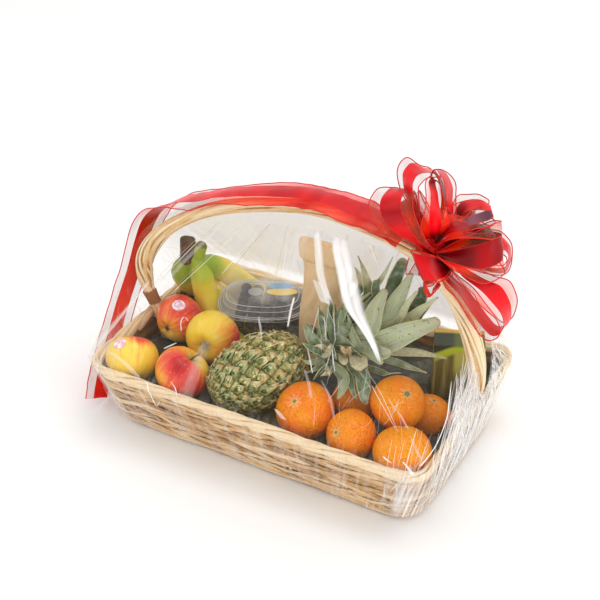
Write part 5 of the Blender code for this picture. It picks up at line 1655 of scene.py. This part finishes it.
# Folds that catch the light or lie double: white glare, warm tint, how soft each side is, and
# places along it: share round the rim, height up the film and width, in the units below
FOLD_UNITS = (10000, 1000, 10000)
FILM_FOLDS = (
    (0.20, 0.55, 0.1, 0.1, ((6406, 660, 26), (6510, 735, 30), (6667, 825, 30), (6833, 905, 20))),
    (0.15, 0.05, 0.4, 0.2, ((6466, 660, 100), (6570, 735, 110), (6727, 825, 110), (6893, 905, 70))),
    (0.45, 0.30, 0.1, 0.1, ((6552, 600, 12), (6635, 650, 14), (6865, 775, 14), (7094, 895, 12))),
    (0.05, 0.28, 0.1, 0.1, ((6512, 600, 10), (6595, 650, 10), (6825, 775, 10), (7054, 895, 8))),
    (0.00, 0.60, 0.1, 0.1, ((7042, 695, 14), (7177, 805, 15), (7323, 905, 13))),
    (0.55, 0.20, 0.1, 0.1, ((6990, 700, 14), (7135, 805, 14), (7292, 910, 12))),
    (0.00, 0.50, 0.1, 0.1, ((7490, 705, 13), (7479, 805, 12), (7479, 900, 10))),
    (0.50, 0.10, 0.1, 0.1, ((7542, 715, 15), (7521, 805, 14), (7490, 890, 10))),
    (0.55, 0.20, 0.1, 0.1, ((7688, 670, 30), (7688, 620, 34), (7698, 565, 20))),
    (0.05, 0.45, 0.1, 0.1, ((6344, 615, 16), (6427, 715, 18), (6667, 850, 14))),
    (0.30, 0.06, 0.3, 0.3, ((5948, 270, 160), (6125, 485, 110), (6302, 675, 60))),
    (0.90, 0.00, 0.1, 0.1, ((6771, 460, 12), (6740, 500, 14), (6760, 520, 14), (6813, 505, 10))),
    (0.90, 0.00, 0.1, 0.1, ((6573, 235, 16), (6615, 215, 20), (6604, 145, 16), (6698, 185, 10))),
    (0.85, 0.00, 0.1, 0.1, ((6802, 265, 12), (6865, 245, 20), (6896, 220, 12))),
    (0.75, 0.00, 0.1, 0.2, ((6656, 380, 20), (6698, 395, 36), (6760, 415, 18))),
    (0.60, 0.00, 0.2, 0.1, ((7729, 905, 100), (7792, 835, 120), (7865, 760, 120), (7990, 690, 100))),
    (0.45, 0.00, 0.05, 0.05, ((7834, 745, 110), (7897, 720, 170), (7960, 682, 130))),
    (0.86, 0.00, 0.06, 0.32, (
        (7937, 915, 220), (7980, 862, 260), (8062, 805, 290), (8145, 742, 310), (8222, 692, 290),
        (8335, 650, 190), (8432, 610, 115), (8508, 566, 36),
    )),
    (0.05, 0.20, 0.5, 0.5, ((7050, 640, 500), (7180, 760, 560), (7330, 900, 340))),
    (0.10, 0.16, 0.5, 0.5, ((7420, 620, 400), (7460, 760, 420), (7500, 900, 300))),
    (0.16, 0.04, 0.5, 0.5, ((7600, 640, 300), (7610, 760, 360), (7620, 900, 300))),
    (0.04, 0.26, 0.5, 0.3, ((8150, 780, 340), (8200, 860, 400), (8230, 930, 300))),
    (0.60, 0.00, 0.2, 0.4, ((8187, 925, 110), (8240, 895, 60), (8313, 865, 12))),
    (0.10, 0.60, 0.1, 0.1, ((7698, 905, 10), (7760, 880, 12), (7781, 910, 10))),
    (0.10, 0.60, 0.1, 0.1, ((7823, 900, 10), (7875, 888, 12), (7896, 910, 10))),
    (0.10, 0.60, 0.1, 0.1, ((7896, 910, 10), (7979, 900, 12), (7990, 925, 10))),
    (0.10, 0.50, 0.1, 0.1, ((8073, 930, 10), (8198, 912, 12), (8240, 925, 10))),
    (0.45, 0.30, 0.1, 0.1, (
        (8073, 925, 12), (8240, 950, 16), (8354, 965, 18), (8396, 965, 20), (8417, 950, 20),
        (8406, 910, 12),
    )),
    (0.95, 0.00, 0.1, 0.1, (
        (9115, 680, 20), (9156, 575, 28), (9187, 485, 30), (9135, 365, 26), (9062, 295, 26),
        (9021, 260, 40),
    )),
    (0.50, 0.00, 0.1, 0.1, ((8490, 485, 12), (8573, 450, 16), (8781, 370, 12))),
    (0.50, 0.00, 0.1, 0.1, ((8521, 490, 12), (8604, 460, 14), (8781, 375, 10))),
    (0.28, 0.00, 0.3, 0.1, ((8635, 470, 20), (8708, 445, 40), (8760, 435, 50), (8854, 400, 40))),
    (0.22, 0.00, 0.3, 0.3, ((8875, 380, 30), (8906, 370, 50), (9021, 295, 40))),
    (0.80, 0.00, 0.2, 0.2, ((8885, 275, 30), (8938, 255, 44), (8990, 225, 50))),
    (0.95, 0.00, 0.05, 0.05, ((8729, 265, 20), (8765, 256, 60), (8802, 252, 50))),
    (0.20, 0.00, 0.3, 0.3, ((7927, 450, 40), (7990, 410, 60), (8042, 365, 50))),
    (0.18, 0.00, 0.3, 0.3, ((8083, 435, 30), (8187, 390, 50), (8271, 325, 40))),
    (0.40, 0.00, 0.2, 0.2, ((7771, 290, 60), (7812, 280, 100), (7865, 265, 90))),
    (0.13, 0.00, 0.4, 0.4, ((6970, 200, 200), (6990, 325, 220), (7030, 450, 140))),
    (0.22, 0.02, 0.3, 0.05, ((6147, 315, 120), (6335, 280, 140), (6512, 235, 120))),
    (0.30, 0.00, 0.2, 0.2, ((7427, 575, 30), (7469, 540, 40), (7510, 495, 20))),
    (0.45, 0.00, 0.1, 0.1, ((7969, 645, 10), (8010, 600, 14), (8042, 565, 10))),
    (0.45, 0.00, 0.1, 0.1, ((8031, 670, 12), (8073, 625, 16), (8115, 575, 10))),
    (0.50, 0.00, 0.1, 0.1, ((8104, 550, 12), (8135, 515, 20), (8177, 475, 12))),
    (0.60, 0.00, 0.1, 0.1, ((7906, 520, 10), (7958, 480, 22), (8000, 445, 12))),
    (0.45, 0.00, 0.1, 0.1, ((8365, 535, 10), (8448, 515, 12), (8531, 490, 10))),
    (0.45, 0.00, 0.1, 0.1, ((8354, 515, 10), (8438, 490, 12), (8490, 470, 10))),
)
# Where creases crowd: the middle of the shares, their spread, lowest and highest foot, how long,
# how slanted, how wide in metres, how white their painted glare is, and how many
FILM_CREASES = (
    (0.000, 0.075, 0.02, 0.75, 0.30, 0.024, 0.0030, 0.85, 150),
    (0.000, 0.060, 0.00, 0.16, 0.16, 0.030, 0.0080, 0.70, 60),
    (0.945, 0.026, 0.10, 0.60, 0.34, 0.014, 0.0024, 0.90, 80),
    (0.985, 0.030, 0.20, 0.60, 0.34, 0.018, 0.0034, 0.80, 70),
    (0.964, 0.020, 0.46, 0.80, 0.18, 0.026, 0.0020, 0.85, 70),
    (0.902, 0.022, 0.02, 0.24, 0.20, 0.010, 0.0018, 0.60, 40),
    (0.850, 0.040, 0.26, 0.42, 0.12, 0.016, 0.0012, 0.40, 16),
    (0.740, 0.150, 0.00, 0.14, 0.10, 0.040, 0.0026, 0.32, 60),
    (0.500, 0.080, 0.02, 0.60, 0.24, 0.016, 0.0022, 0.30, 40),
    (0.250, 0.150, 0.02, 0.50, 0.22, 0.016, 0.0020, 0.30, 50),
    (0.800, 0.014, 0.42, 0.60, 0.12, 0.004, 0.0014, 0.40, 10),
    (0.984, 0.014, 0.60, 0.84, 0.20, 0.014, 0.0016, 0.80, 60),
)


def film_fold(film, white, warm, soft, places, lift=0.0012, rows=18):
    """A narrow doubled strip of the film along places on it."""
    places = [Vector(p) for p in places]
    columns = 14 if max(p.z for p in places) > BROAD_FOLD else 6

    def place(u, v):
        share, height, width = catmull(places, v)
        share += width * (u - 0.5) / FILM_GIRTH
        return film_at(share, max(height, 0.002), lift + 0.0006 * math.sin(math.pi * u))

    # Painted white glare as the mark and a warm tint as the tone, fading at the strip's ends and sides.
    def fade(amount):
        def at(u, v):
            ends = smooth_step(0.0, 0.10, v) * smooth_step(0.0, 0.10, 1 - v)
            streaks = 1 + 0.7 * ripple(u * 5, v * 1.5, places[0].x * 90)
            sides = smooth_step(-0.01, soft[0], u) * smooth_step(-0.01, soft[1], 1 - u)
            return min(amount * ends * streaks, 0.92) * sides
        return at

    add_grid(film, columns, rows, place, uv=(0.05, 0.3, 0.0, 0.0), mark=fade(white), tone=fade(warm))


def make_film():
    """The film: drawn from under the tray up to the handle, with creases, folds and glare."""
    film = new_shape()

    def place(u, v):
        return film_at(u, v, film_ripple(u, v))

    # Painted white glare: streaks on the walls, stronger at the right end and at the corners by the bow and
    # the tail.
    def painted_glare(u, v):
        share = u % 1.0
        streak = ripple(*round_places(share, 70.0), v * 5)
        wall = 1 - smooth_step(WALL_SHARE - 0.04, WALL_SHARE + 0.06, v)
        right = smooth_step(0.86, 0.97, math.cos(TAU * share)) * (1 - smooth_step(0.35, 0.85, v))
        bow_corner = math.exp(-(((share - 0.905) / 0.022) ** 2)) * (1 - smooth_step(0.18, 0.28, v))
        tail_corner = math.exp(-(((share - 0.590) / 0.030) ** 2)) * (1 - smooth_step(0.24, 0.50, v))
        white = wall * max(0.0, 0.05 + 0.35 * streak) + right * max(0.0, 0.50 + 0.9 * streak)
        white += bow_corner * max(0.0, 0.22 + 0.7 * streak) + tail_corner * (0.26 + 0.3 * streak)
        return min(white, 0.9)

    def warmth(u, v):
        back = smooth_step(0.05, 0.13, u) * (1 - smooth_step(0.37, 0.46, u))
        return back * smooth_step(WALL_SHARE, WALL_SHARE + 0.1, v) * 0.38

    made = add_grid(film, FILM_AROUND, 100, place, uv=(1.6, 0.45, 0.0, 0.0), mark=painted_glare, tone=warmth)
    bmesh.ops.remove_doubles(film, verts=made, dist=0.0002)
    outwards(film)
    for white, warm, soft_start, soft_end, places in FILM_FOLDS:
        places = [[value / unit for value, unit in zip(spot, FOLD_UNITS)] for spot in places]
        film_fold(film, white, warm, (soft_start, soft_end), places)
    draw = random.Random(23)
    for middle, spread, low, high, tall, slant, width, white, count in FILM_CREASES:
        for _ in range(count):
            share = middle + draw.uniform(-spread, spread)
            foot = draw.uniform(low, high)
            top = min(foot + tall * draw.uniform(0.4, 1.1), 0.96)
            lean = draw.uniform(-slant, slant)
            bent = lean * draw.uniform(0.2, 0.8)
            wide = width * draw.uniform(0.3, 1.0)
            places = (
                (share, foot, wide * 0.6), (share + bent, mix(foot, top, 0.5), wide),
                (share + lean, top, wide * 0.5),
            )
            brightness = white * draw.uniform(0.4, 1.1)
            film_fold(film, brightness, 0.0, (0.3, 0.3), places, draw.uniform(0.0010, 0.0022), 8)
    made = as_piece("wrapping_film", film, clear_film, ["film"])


# Ribbon and bow

RIBBON_START, RIBBON_END = handle_x_share(0.130), handle_x_share(-0.128)


RIBBON_TAIL = tuple(Vector(p) for p in (
    (-0.1900, 0.014, 0.256), (-0.2390, 0.026, 0.212), (-0.2540, 0.004, 0.144),
    (-0.2540, -0.036, 0.092), (-0.2490, -0.078, 0.044), (-0.2410, -0.108, 0.0085),
))
TAIL_START = 0.55


def ribbon_station(s):
    """The long ribbon's middle, the way it is wide, the way it sags and how far, s from 0 to 1."""
    here, outward, radius = handle_point(mix(RIBBON_START, RIBBON_END, min(s / TAIL_START, 1.0)))
    out = Vector((outward.x, 0.0, outward.y))
    crest = Vector((here.x, 0.0, here.y)) + out * RIBBON_LIFT
    if s <= TAIL_START:
        return crest, Vector((0, 1, 0)), -out, RIBBON_SAG
    t = (s - TAIL_START) / (1 - TAIL_START)
    across = Vector((0, 1, 0)).lerp(Vector((0.12, 0.86, -0.48)), smooth_step(0.0, 0.40, t)).normalized()
    sag = RIBBON_SAG * (1 - smooth_step(0.0, 0.22, t))
    return catmull((crest, *RIBBON_TAIL), t), across, -out, sag


WIRE_RADIUS = 0.0007


def add_ribbon(bm, place, rows, length, dense, shade, seed=0.0, edge=0.27, columns=4, sides=(0, 1)):
    """A band of satin with sheer sides and a wire in each edge; place(u, v) lays it out.

    Slots: 0 satin, 1 satin lit through, 2 organza, 3 wire, 4 the satin's dull back. dense(v) says
    how gathered the organza is, shade(v) how much painted shade lies on the satin, edge how much of
    the width is sheer on each side, and sides which satin is on each face.
    """
    def normal(u, v):
        du = place(min(u + 0.02, 1), v) - place(max(u - 0.02, 0), v)
        dv = place(u, min(v + 0.01, 1)) - place(u, max(v - 0.01, 0))
        way = du.cross(dv)
        return way.normalized() if way.length > 1e-12 else UP

    def satin(side):
        def at(u, v):
            across = mix(edge, 1 - edge, u if side > 0 else 1 - u)
            return place(across, v) + normal(across, v) * (0.00022 * side)
        return at

    # Painted shade on the satin, laid in as its tone.
    def dark(u, v):
        return shade(v)

    def gathered(u, v):
        return dense(v)

    uv = (0.03, length, seed, seed)
    add_grid(bm, columns + 2, rows, satin(1), uv=uv, slot=sides[0], tone=dark)
    add_grid(bm, columns + 2, rows, satin(-1), uv=uv, slot=sides[1], tone=dark)
    for low, high in ((0.0, edge), (1 - edge, 1.0)):
        def sheer(u, v, low=low, high=high):
            return place(mix(low, high, u), v)

        add_grid(bm, 4, rows, sheer, uv=uv, slot=2, mark=gathered)
    for side, radius in ((0.0, 1.0), (1.0, 1.0), (edge, 0.6), (1 - edge, 0.6)):
        points = [place(side, k / rows) for k in range(rows + 1)]
        stations = []
        for k, point in enumerate(points):
            out = normal(side, k / rows)
            across = (points[min(k + 1, rows)] - points[max(k - 1, 0)]).cross(out)
            across = across.normalized() if across.length > 1e-12 else Vector((1, 0, 0))
            stations.append((point, out, across))
        size = WIRE_RADIUS * radius * 2
        add_tube(bm, stations, size, size, sides=5, slot=3, length=length)


def make_ribbon():
    """The long ribbon: over the ridge of the film and down outside the left end."""
    band = new_shape()

    def place(u, v):
        middle, side, droop, sag = ribbon_station(v)
        a = u * 2 - 1
        wave = 0.0012 * math.sin(9.0 * v * math.pi) * a
        crimp = (0.0012 * ripple(v * 38, u * 3) + 0.0010 * ripple(v * 15, u * 2, 6.0)) * (0.3 + abs(a))
        point = middle + side * (RIBBON_WIDTH / 2 * a) + droop * (sag * abs(a) ** 1.7 + wave + crimp)
        point.z = max(point.z, 0.0016)
        return point

    def dense(v):
        return 0.10 + 0.70 * (1 - smooth_step(0.30, 0.56, v)) + 0.5 * ripple(v * 7, 3.0)

    # Painted shade on the satin: a little along the ridge, more where the tail bends down past the handle.
    def shade(v):
        bend = smooth_step(0.60, 0.70, v) * (1 - smooth_step(0.70, 0.76, v))
        return 0.20 * (1 - smooth_step(0.40, 0.56, v)) + 0.5 * bend

    add_ribbon(band, place, 170, 0.68, dense, shade, columns=6)
    made = as_piece("long_ribbon", band, ribbon_finishes, ["ribbon"])


# Each loop's way from the knot out and back: its middle and half its width at places along it,
# in mm to the right, up and towards the front of the knot; and how much of the width is sheer
BOW_LOOPS = (
    (0.27, (
        ((-10, 10, 10), (6, -1, 1)), ((-23, 37, 24), (6, -10, 17)), ((-31, 61, 34), (9, -9, 26)),
        ((-30, 75, 34), (10, -12, 24)),
        ((-21, 84, 24), (9, -14, 23)), ((-8, 83, 8), (7, -9, 26)), ((5, 80, -10), (4, -8, 27)),
        ((14, 56, -16), (1, -7, 19)),
        ((7, 22, -8), (1, -1, 6)),
    )),
    (0.27, (
        ((10, 13, 2), (-6, -1, 1)), ((17, 35, 14), (-9, 1, 19)), ((16, 52, 20), (-10, -1, 27)),
        ((14, 67, 22), (-11, -3, 26)),
        ((9, 78, 16), (-9, -3, 27)), ((4, 84, 6), (-6, -3, 28)), ((-1, 81, -8), (-3, -5, 28)),
        ((0, 62, -14), (-1, -5, 20)),
        ((-1, 23, -8), (-1, -3, 6)),
    )),
    (0.27, (
        ((-2, 7, 16), (5, 1, 0)), ((-2, 16, 40), (16, 6, -4)), ((-3, 34, 50), (14, 3, -21)),
        ((-4, 53, 48), (11, 1, -23)),
        ((-5, 67, 38), (9, 0, -23)), ((-2, 73, 22), (5, 0, -24)), ((0, 66, 8), (3, 1, -25)),
        ((-1, 39, 4), (3, 0, -18)),
        ((0, 14, 4), (2, 0, -5)),
    )),
    (0.27, (
        ((-1, -10, 14), (1, 1, 6)), ((-17, -1, 20), (10, -2, 18)), ((-37, 15, 30), (17, 3, 23)),
        ((-48, 31, 36), (22, 3, 18)),
        ((-50, 46, 34), (23, 0, 17)), ((-44, 58, 22), (19, -4, 21)), ((-36, 63, 4), (12, -4, 25)),
        ((-25, 57, -12), (7, -6, 18)),
        ((-12, 23, -8), (2, -3, 5)),
    )),
    (0.27, (
        ((20, 15, -10), (3, -5, 2)), ((31, 39, -16), (3, -15, 14)), ((43, 46, -14), (1, -14, 25)),
        ((56, 45, -4), (1, -14, 25)),
        ((64, 38, 8), (0, -13, 25)), ((58, 32, 20), (-1, -13, 25)), ((42, 28, 26), (-2, -12, 26)),
        ((27, 20, 22), (-3, -9, 18)),
        ((13, 11, 14), (-1, -3, 6)),
    )),
    (0.27, (
        ((1, 2, 20), (1, -3, 4)), ((15, 18, 34), (3, -13, 12)), ((36, 18, 36), (3, -13, 21)),
        ((53, 16, 30), (2, -11, 23)),
        ((65, 14, 16), (1, -8, 24)), ((56, 17, 2), (0, -8, 24)), ((35, 18, -4), (0, -8, 16)),
        ((16, 11, 0), (0, -4, 4)),
    )),
    (0.27, (
        ((0, -11, 24), (1, -2, 6)), ((18, -14, 40), (1, -15, 14)), ((41, -15, 52), (1, -27, 10)),
        ((59, -10, 50), (0, -31, 0)),
        ((72, -3, 38), (1, -28, 5)), ((68, 3, 22), (1, -24, 15)), ((56, 7, 10), (1, -17, 23)),
        ((34, 3, 8), (0, -9, 19)),
        ((10, -6, 6), (0, -2, 6)),
    )),
    (0.27, (
        ((13, -10, -6), (1, -2, 6)), ((54, 3, -12), (4, -11, 17)), ((74, 5, -14), (-2, -14, 25)),
        ((83, -1, -10), (-6, -11, 26)),
        ((86, -10, -4), (-7, -5, 27)), ((83, -20, 4), (-7, 1, 28)), ((76, -28, 10), (-4, 5, 28)),
        ((55, -26, 12), (0, 4, 20)),
        ((16, -15, 4), (0, 1, 6)),
    )),
    (0.27, (
        ((6, -14, 10), (1, -1, 6)), ((20, -22, 24), (-4, -7, 19)), ((33, -32, 32), (-9, -9, 26)),
        ((51, -44, 36), (-14, -10, 23)),
        ((63, -52, 36), (-19, -12, 18)), ((73, -65, 32), (-18, -10, 20)), ((78, -76, 26), (-14, -7, 24)),
        ((79, -86, 18), (-11, -7, 25)),
        ((74, -94, 8), (-9, -9, 26)), ((65, -93, 0), (-10, -11, 24)), ((50, -74, -4), (-12, -9, 24)),
        ((34, -52, -2), (-12, -6, 25)),
        ((17, -36, 2), (-7, -7, 18)), ((6, -17, 4), (-1, -1, 6)),
    )),
    (0.10, (
        ((17, -23, 20), (3, -4, 0)), ((3, -25, 34), (7, -13, 5)), ((-10, -25, 36), (8, -17, 12)),
        ((-19, -25, 30), (7, -19, 8)),
        ((-18, -27, 20), (7, -18, 10)), ((-9, -30, 12), (5, -15, 15)), ((4, -27, 8), (3, -7, 14)),
        ((16, -22, 6), (1, -3, 4)),
    )),
    (0.30, (
        ((0, -37, 24), (1, -2, 0)), ((-10, -42, 22), (1, -2, 2)), ((-10, -48, 20), (2, -1, 4)),
        ((-6, -56, 18), (2, 1, 4)),
        ((-1, -49, 20), (0, 3, 2)), ((5, -42, 20), (-1, 2, 0)),
    )),
)
# Loops on the far side of the knot: how far each reaches, the way it is wide and how round it is
BACK_LOOPS = (
    ((-34, 50, -50), (0.9, 0.3, 0.1), 14), ((50, 30, -55), (0.2, 0.9, 0.2), 15),
    ((0, -30, -50), (0.9, 0.1, 0.3), 13),
)
KNOT_RADIUS = 12.4
# By a loop's number: which satin shows on its two faces, and how much painted shade it adds or takes away
LOOP_SIDES = {1: (1, 0), 4: (0, 4), 7: (0, 4), 9: (1, 0)}
LOOP_PAINTED_SHADE = {5: 0.7, 6: 0.6, 2: -0.1, 8: -0.35}


def round_loop(tip, wide, fullness):
    """The middles and half widths of a plain round loop that reaches out to a tip."""
    tip, wide = Vector(tip), Vector(wide)
    ahead = tip.normalized()
    wide = (wide - ahead * wide.dot(ahead)).normalized()
    up = ahead.cross(wide)
    nodes = []
    for k in range(9):
        t = mix(0.4, TAU - 0.4, k / 8)
        reach = tip.length * (0.5 - 0.5 * math.cos(t))
        nodes.append((ahead * reach + up * (fullness * math.sin(t)), wide * mix(6, 27, abs(math.sin(t / 2)))))
    return tuple(nodes)


def add_bow_loop(bow, nodes, edge, seed, sides=(0, 1), painted_shade=0.0):
    """A loop of wired ribbon, gathered in at the knot."""
    middles = [to_front(middle) for middle, half in nodes]
    halves = [to_front(half) for middle, half in nodes]
    widest = max(half.length for half in halves)
    length = sum((b - a).length for a, b in zip(middles, middles[1:]))

    def gather(v):
        return 1 - min(catmull(halves, v).length / widest, 1.0)

    def dense(v):
        return 0.028 + 1.2 * gather(v) + 0.4 * ripple(v * 5, seed, 8.0)

    # Painted shade on the satin: deeper where the loop gathers into the knot, in soft patches, and by the
    # loop's own amount.
    def shade(v):
        return min(max(1.3 * gather(v) + 1.2 * ripple(v * 4, seed, 2.0) + painted_shade, 0.0), 0.95)

    @functools.lru_cache(None)
    def place(u, v):
        half = catmull(halves, v)
        ahead = catmull(middles, min(v + 0.02, 1)) - catmull(middles, max(v - 0.02, 0))
        out = ahead.cross(half).normalized()
        a = u * 2 - 1
        pleat = 0.0030 * gather(v) * math.sin(a * 9 + seed) + 0.0011 * ripple(v * 9, u * 4, seed)
        frill = 0.0004 * abs(a) ** 3 * math.sin(v * length * 160 + seed + a)
        return BOW_CENTRE + catmull(middles, v) + half * a + out * (pleat + frill)

    rows = 8 * (len(nodes) - 1)
    add_ribbon(bow, place, rows, length, dense, shade, seed=seed, edge=edge, sides=sides)


def add_tie(bow):
    """The band of ribbon that ties the bow round the handle."""
    here, outward, radius = handle_point(handle_x_share(BOW_CENTRE.x))
    out = Vector((outward.x, 0, outward.y))
    along = Vector((outward.y, 0, -outward.x))
    middle = Vector((here.x, 0, here.y)) + out * 0.004
    stations = []
    for k in range(41):
        angle = TAU * k / 40
        way = out * math.cos(angle) + Vector((0, 1, 0)) * math.sin(angle)
        reach = radius * 1.14 + 0.0075 + 0.003 * math.cos(angle)
        stations.append((middle + way * reach, way, along))
    add_tube(bow, stations, 0.012, 0.0016, sides=8, slot=0, loop=True, length=0.1)


def make_bow():
    """Loops of wired ribbon in all directions, the knot that gathers them, and the tie."""
    bow = new_shape()
    for index, (edge, nodes) in enumerate(BOW_LOOPS):
        sides, painted_shade = LOOP_SIDES.get(index, (0, 1)), LOOP_PAINTED_SHADE.get(index, 0.06)
        add_bow_loop(bow, nodes, edge, index * 1.7, sides, painted_shade)
    for index, (tip, wide, fullness) in enumerate(BACK_LOOPS):
        add_bow_loop(bow, round_loop(tip, wide, fullness), 0.27, 30 + index * 1.7)

    def knot(turn, polar):
        way = Vector((math.sin(polar) * math.cos(turn), math.sin(polar) * math.sin(turn), math.cos(polar)))
        return BOW_CENTRE + to_front(way * (KNOT_RADIUS * (1 + 0.08 * math.cos(9 * turn))))

    add_round(bow, knot, 40, 20)
    add_tie(bow)
    made = as_piece("gift_bow", bow, ribbon_finishes, ["bow"])


# Studio
CAMERA_PLACE, CAMERA_TARGET, CAMERA_LENS = (0.6893, -1.2455, 1.1230), (-0.0518, 0.0865, 0.1096), 84
# Each soft light's name, place, what it points at, size and power
LIGHTS = (
    ("top_light", (0.35, 0.90, 3.0), (-0.1, 0.1, 0.1), (2.6, 2.2), 37),
    ("front_light", (1.0, -2.1, 0.75), (0.0, 0.0, 0.10), (1.4, 0.7), 7.0),
    ("right_light", (2.3, -0.5, 0.8), (0.2, 0.0, 0.08), (0.8, 0.8), 10),
    ("side_light", (-1.3, -0.5, 1.2), (0.0, 0.0, 0.1), (0.5, 0.5), 2.0),
)


def aim(made, place, target):
    """Links a camera or light and points it at a target."""
    bpy.context.scene.collection.objects.link(made)
    made.location = place
    made.rotation_euler = (Vector(target) - Vector(place)).to_track_quat("-Z", "Y").to_euler()


def make_camera():
    """The photograph's viewing angle."""
    lens = bpy.data.cameras.new("camera")
    lens.lens, lens.sensor_width, lens.clip_end = CAMERA_LENS, 36, 50
    camera = bpy.data.objects.new("camera", lens)
    aim(camera, CAMERA_PLACE, CAMERA_TARGET)
    bpy.context.scene.camera = camera


def make_studio():
    """A pale floor, white air and four soft lights."""
    floor = bmesh.new()
    bmesh.ops.create_grid(floor, x_segments=1, y_segments=1, size=6.0)
    mesh = bpy.data.meshes.new("studio_floor")
    floor.to_mesh(mesh)
    floor.free()
    mesh.materials.append(Paint("studio_white", Base_Color=(0.93, 0.925, 0.915), Roughness=0.9).done())
    made = bpy.data.objects.new("studio_floor", mesh)
    bpy.context.scene.collection.objects.link(made)
    world = bpy.data.worlds.new("studio_air")
    world.use_nodes = True
    world.node_tree.nodes["Background"].inputs["Color"].default_value = (1, 1, 1, 1)
    world.node_tree.nodes["Background"].inputs["Strength"].default_value = 0.79
    bpy.context.scene.world = world
    for name, place, target, size, power in LIGHTS:
        lamp = bpy.data.lights.new(name, "AREA")
        lamp.shape = "RECTANGLE"
        lamp.size, lamp.size_y = size
        lamp.energy = power
        aim(bpy.data.objects.new(name, lamp), place, target)
    bpy.context.scene.view_settings.view_transform = "Standard"


make_camera()
make_studio()

willow = strip_finish(
    "willow_strip", rgb(252, 228, 188), rgb(222, 178, 124), rgb(150, 100, 54), rgb(112, 68, 34),
)
straw = strip_finish(
    "handle_straw", rgb(255, 236, 196), rgb(244, 204, 144), rgb(206, 146, 82), rgb(180, 110, 54),
)
weave_shadow = shadow_finish()
brown_reed = reed_finish()
packing = packing_finish()
apple_skin = apple_finish()
sticker_paper = sticker_finish()
dry_stem = plain_finish("dry_stem", rgb(96, 74, 44), 0.7)
orange_peel = peel_finish()
green_button = plain_finish("stem_scar", rgb(118, 140, 84), 0.6)
banana_skin = banana_finish()
pineapple_rind = rind_finish()
eye_bract = bract_finish()
crown_leaf = leaf_finish()
clear_plastic = clear_finish("clear_plastic", rgb(226, 230, 232), 0.16, 0.08, 0.002, 40.0)
# Whiter, nearly solid plastic for the lid's rings: painted highlights on its edges.
glint_plastic = clear_finish("lid_edge_painted_glint", rgb(236, 240, 242), 0.75, 0.12)
berry_skin = berry_finish()
label_yellow = plain_finish("label_yellow", rgb(252, 216, 84), 0.45)
label_blue = plain_finish("label_blue", rgb(84, 166, 226), 0.45)
label_grey = plain_finish("label_grey", rgb(168, 172, 176), 0.45)
kraft_paper = kraft_finish()
carton_print = carton_finish()
clear_film = film_finish()
satin = satin_finish("ribbon_satin", rgb(252, 8, 22), rgb(192, 0, 14), rgb(58, 0, 4))
satin_glow = satin_finish("ribbon_satin_lit_through", rgb(255, 44, 12), rgb(230, 14, 4), rgb(110, 0, 4))
satin_back = satin_finish("ribbon_satin_back", rgb(156, 92, 112), rgb(120, 56, 76), rgb(60, 10, 24), 0.45)
organza = organza_finish()
edge_wire = plain_finish("ribbon_edge_wire", rgb(226, 20, 12), 0.4)
ribbon_finishes = [satin, satin_glow, organza, edge_wire, satin_back]

make_basket()
make_handle()
make_binding("left_binding", "binding_left", True)
make_binding("right_binding", "binding_right", False)
make_packing()
for name in APPLES:
    make_apple(name)
for name in ORANGES:
    make_orange(name)
make_bananas()
make_pineapple()
make_crown()
make_punnet()
make_berries()
make_labels()
make_bag()
dress_carton()
make_film()
make_ribbon()
make_bow()
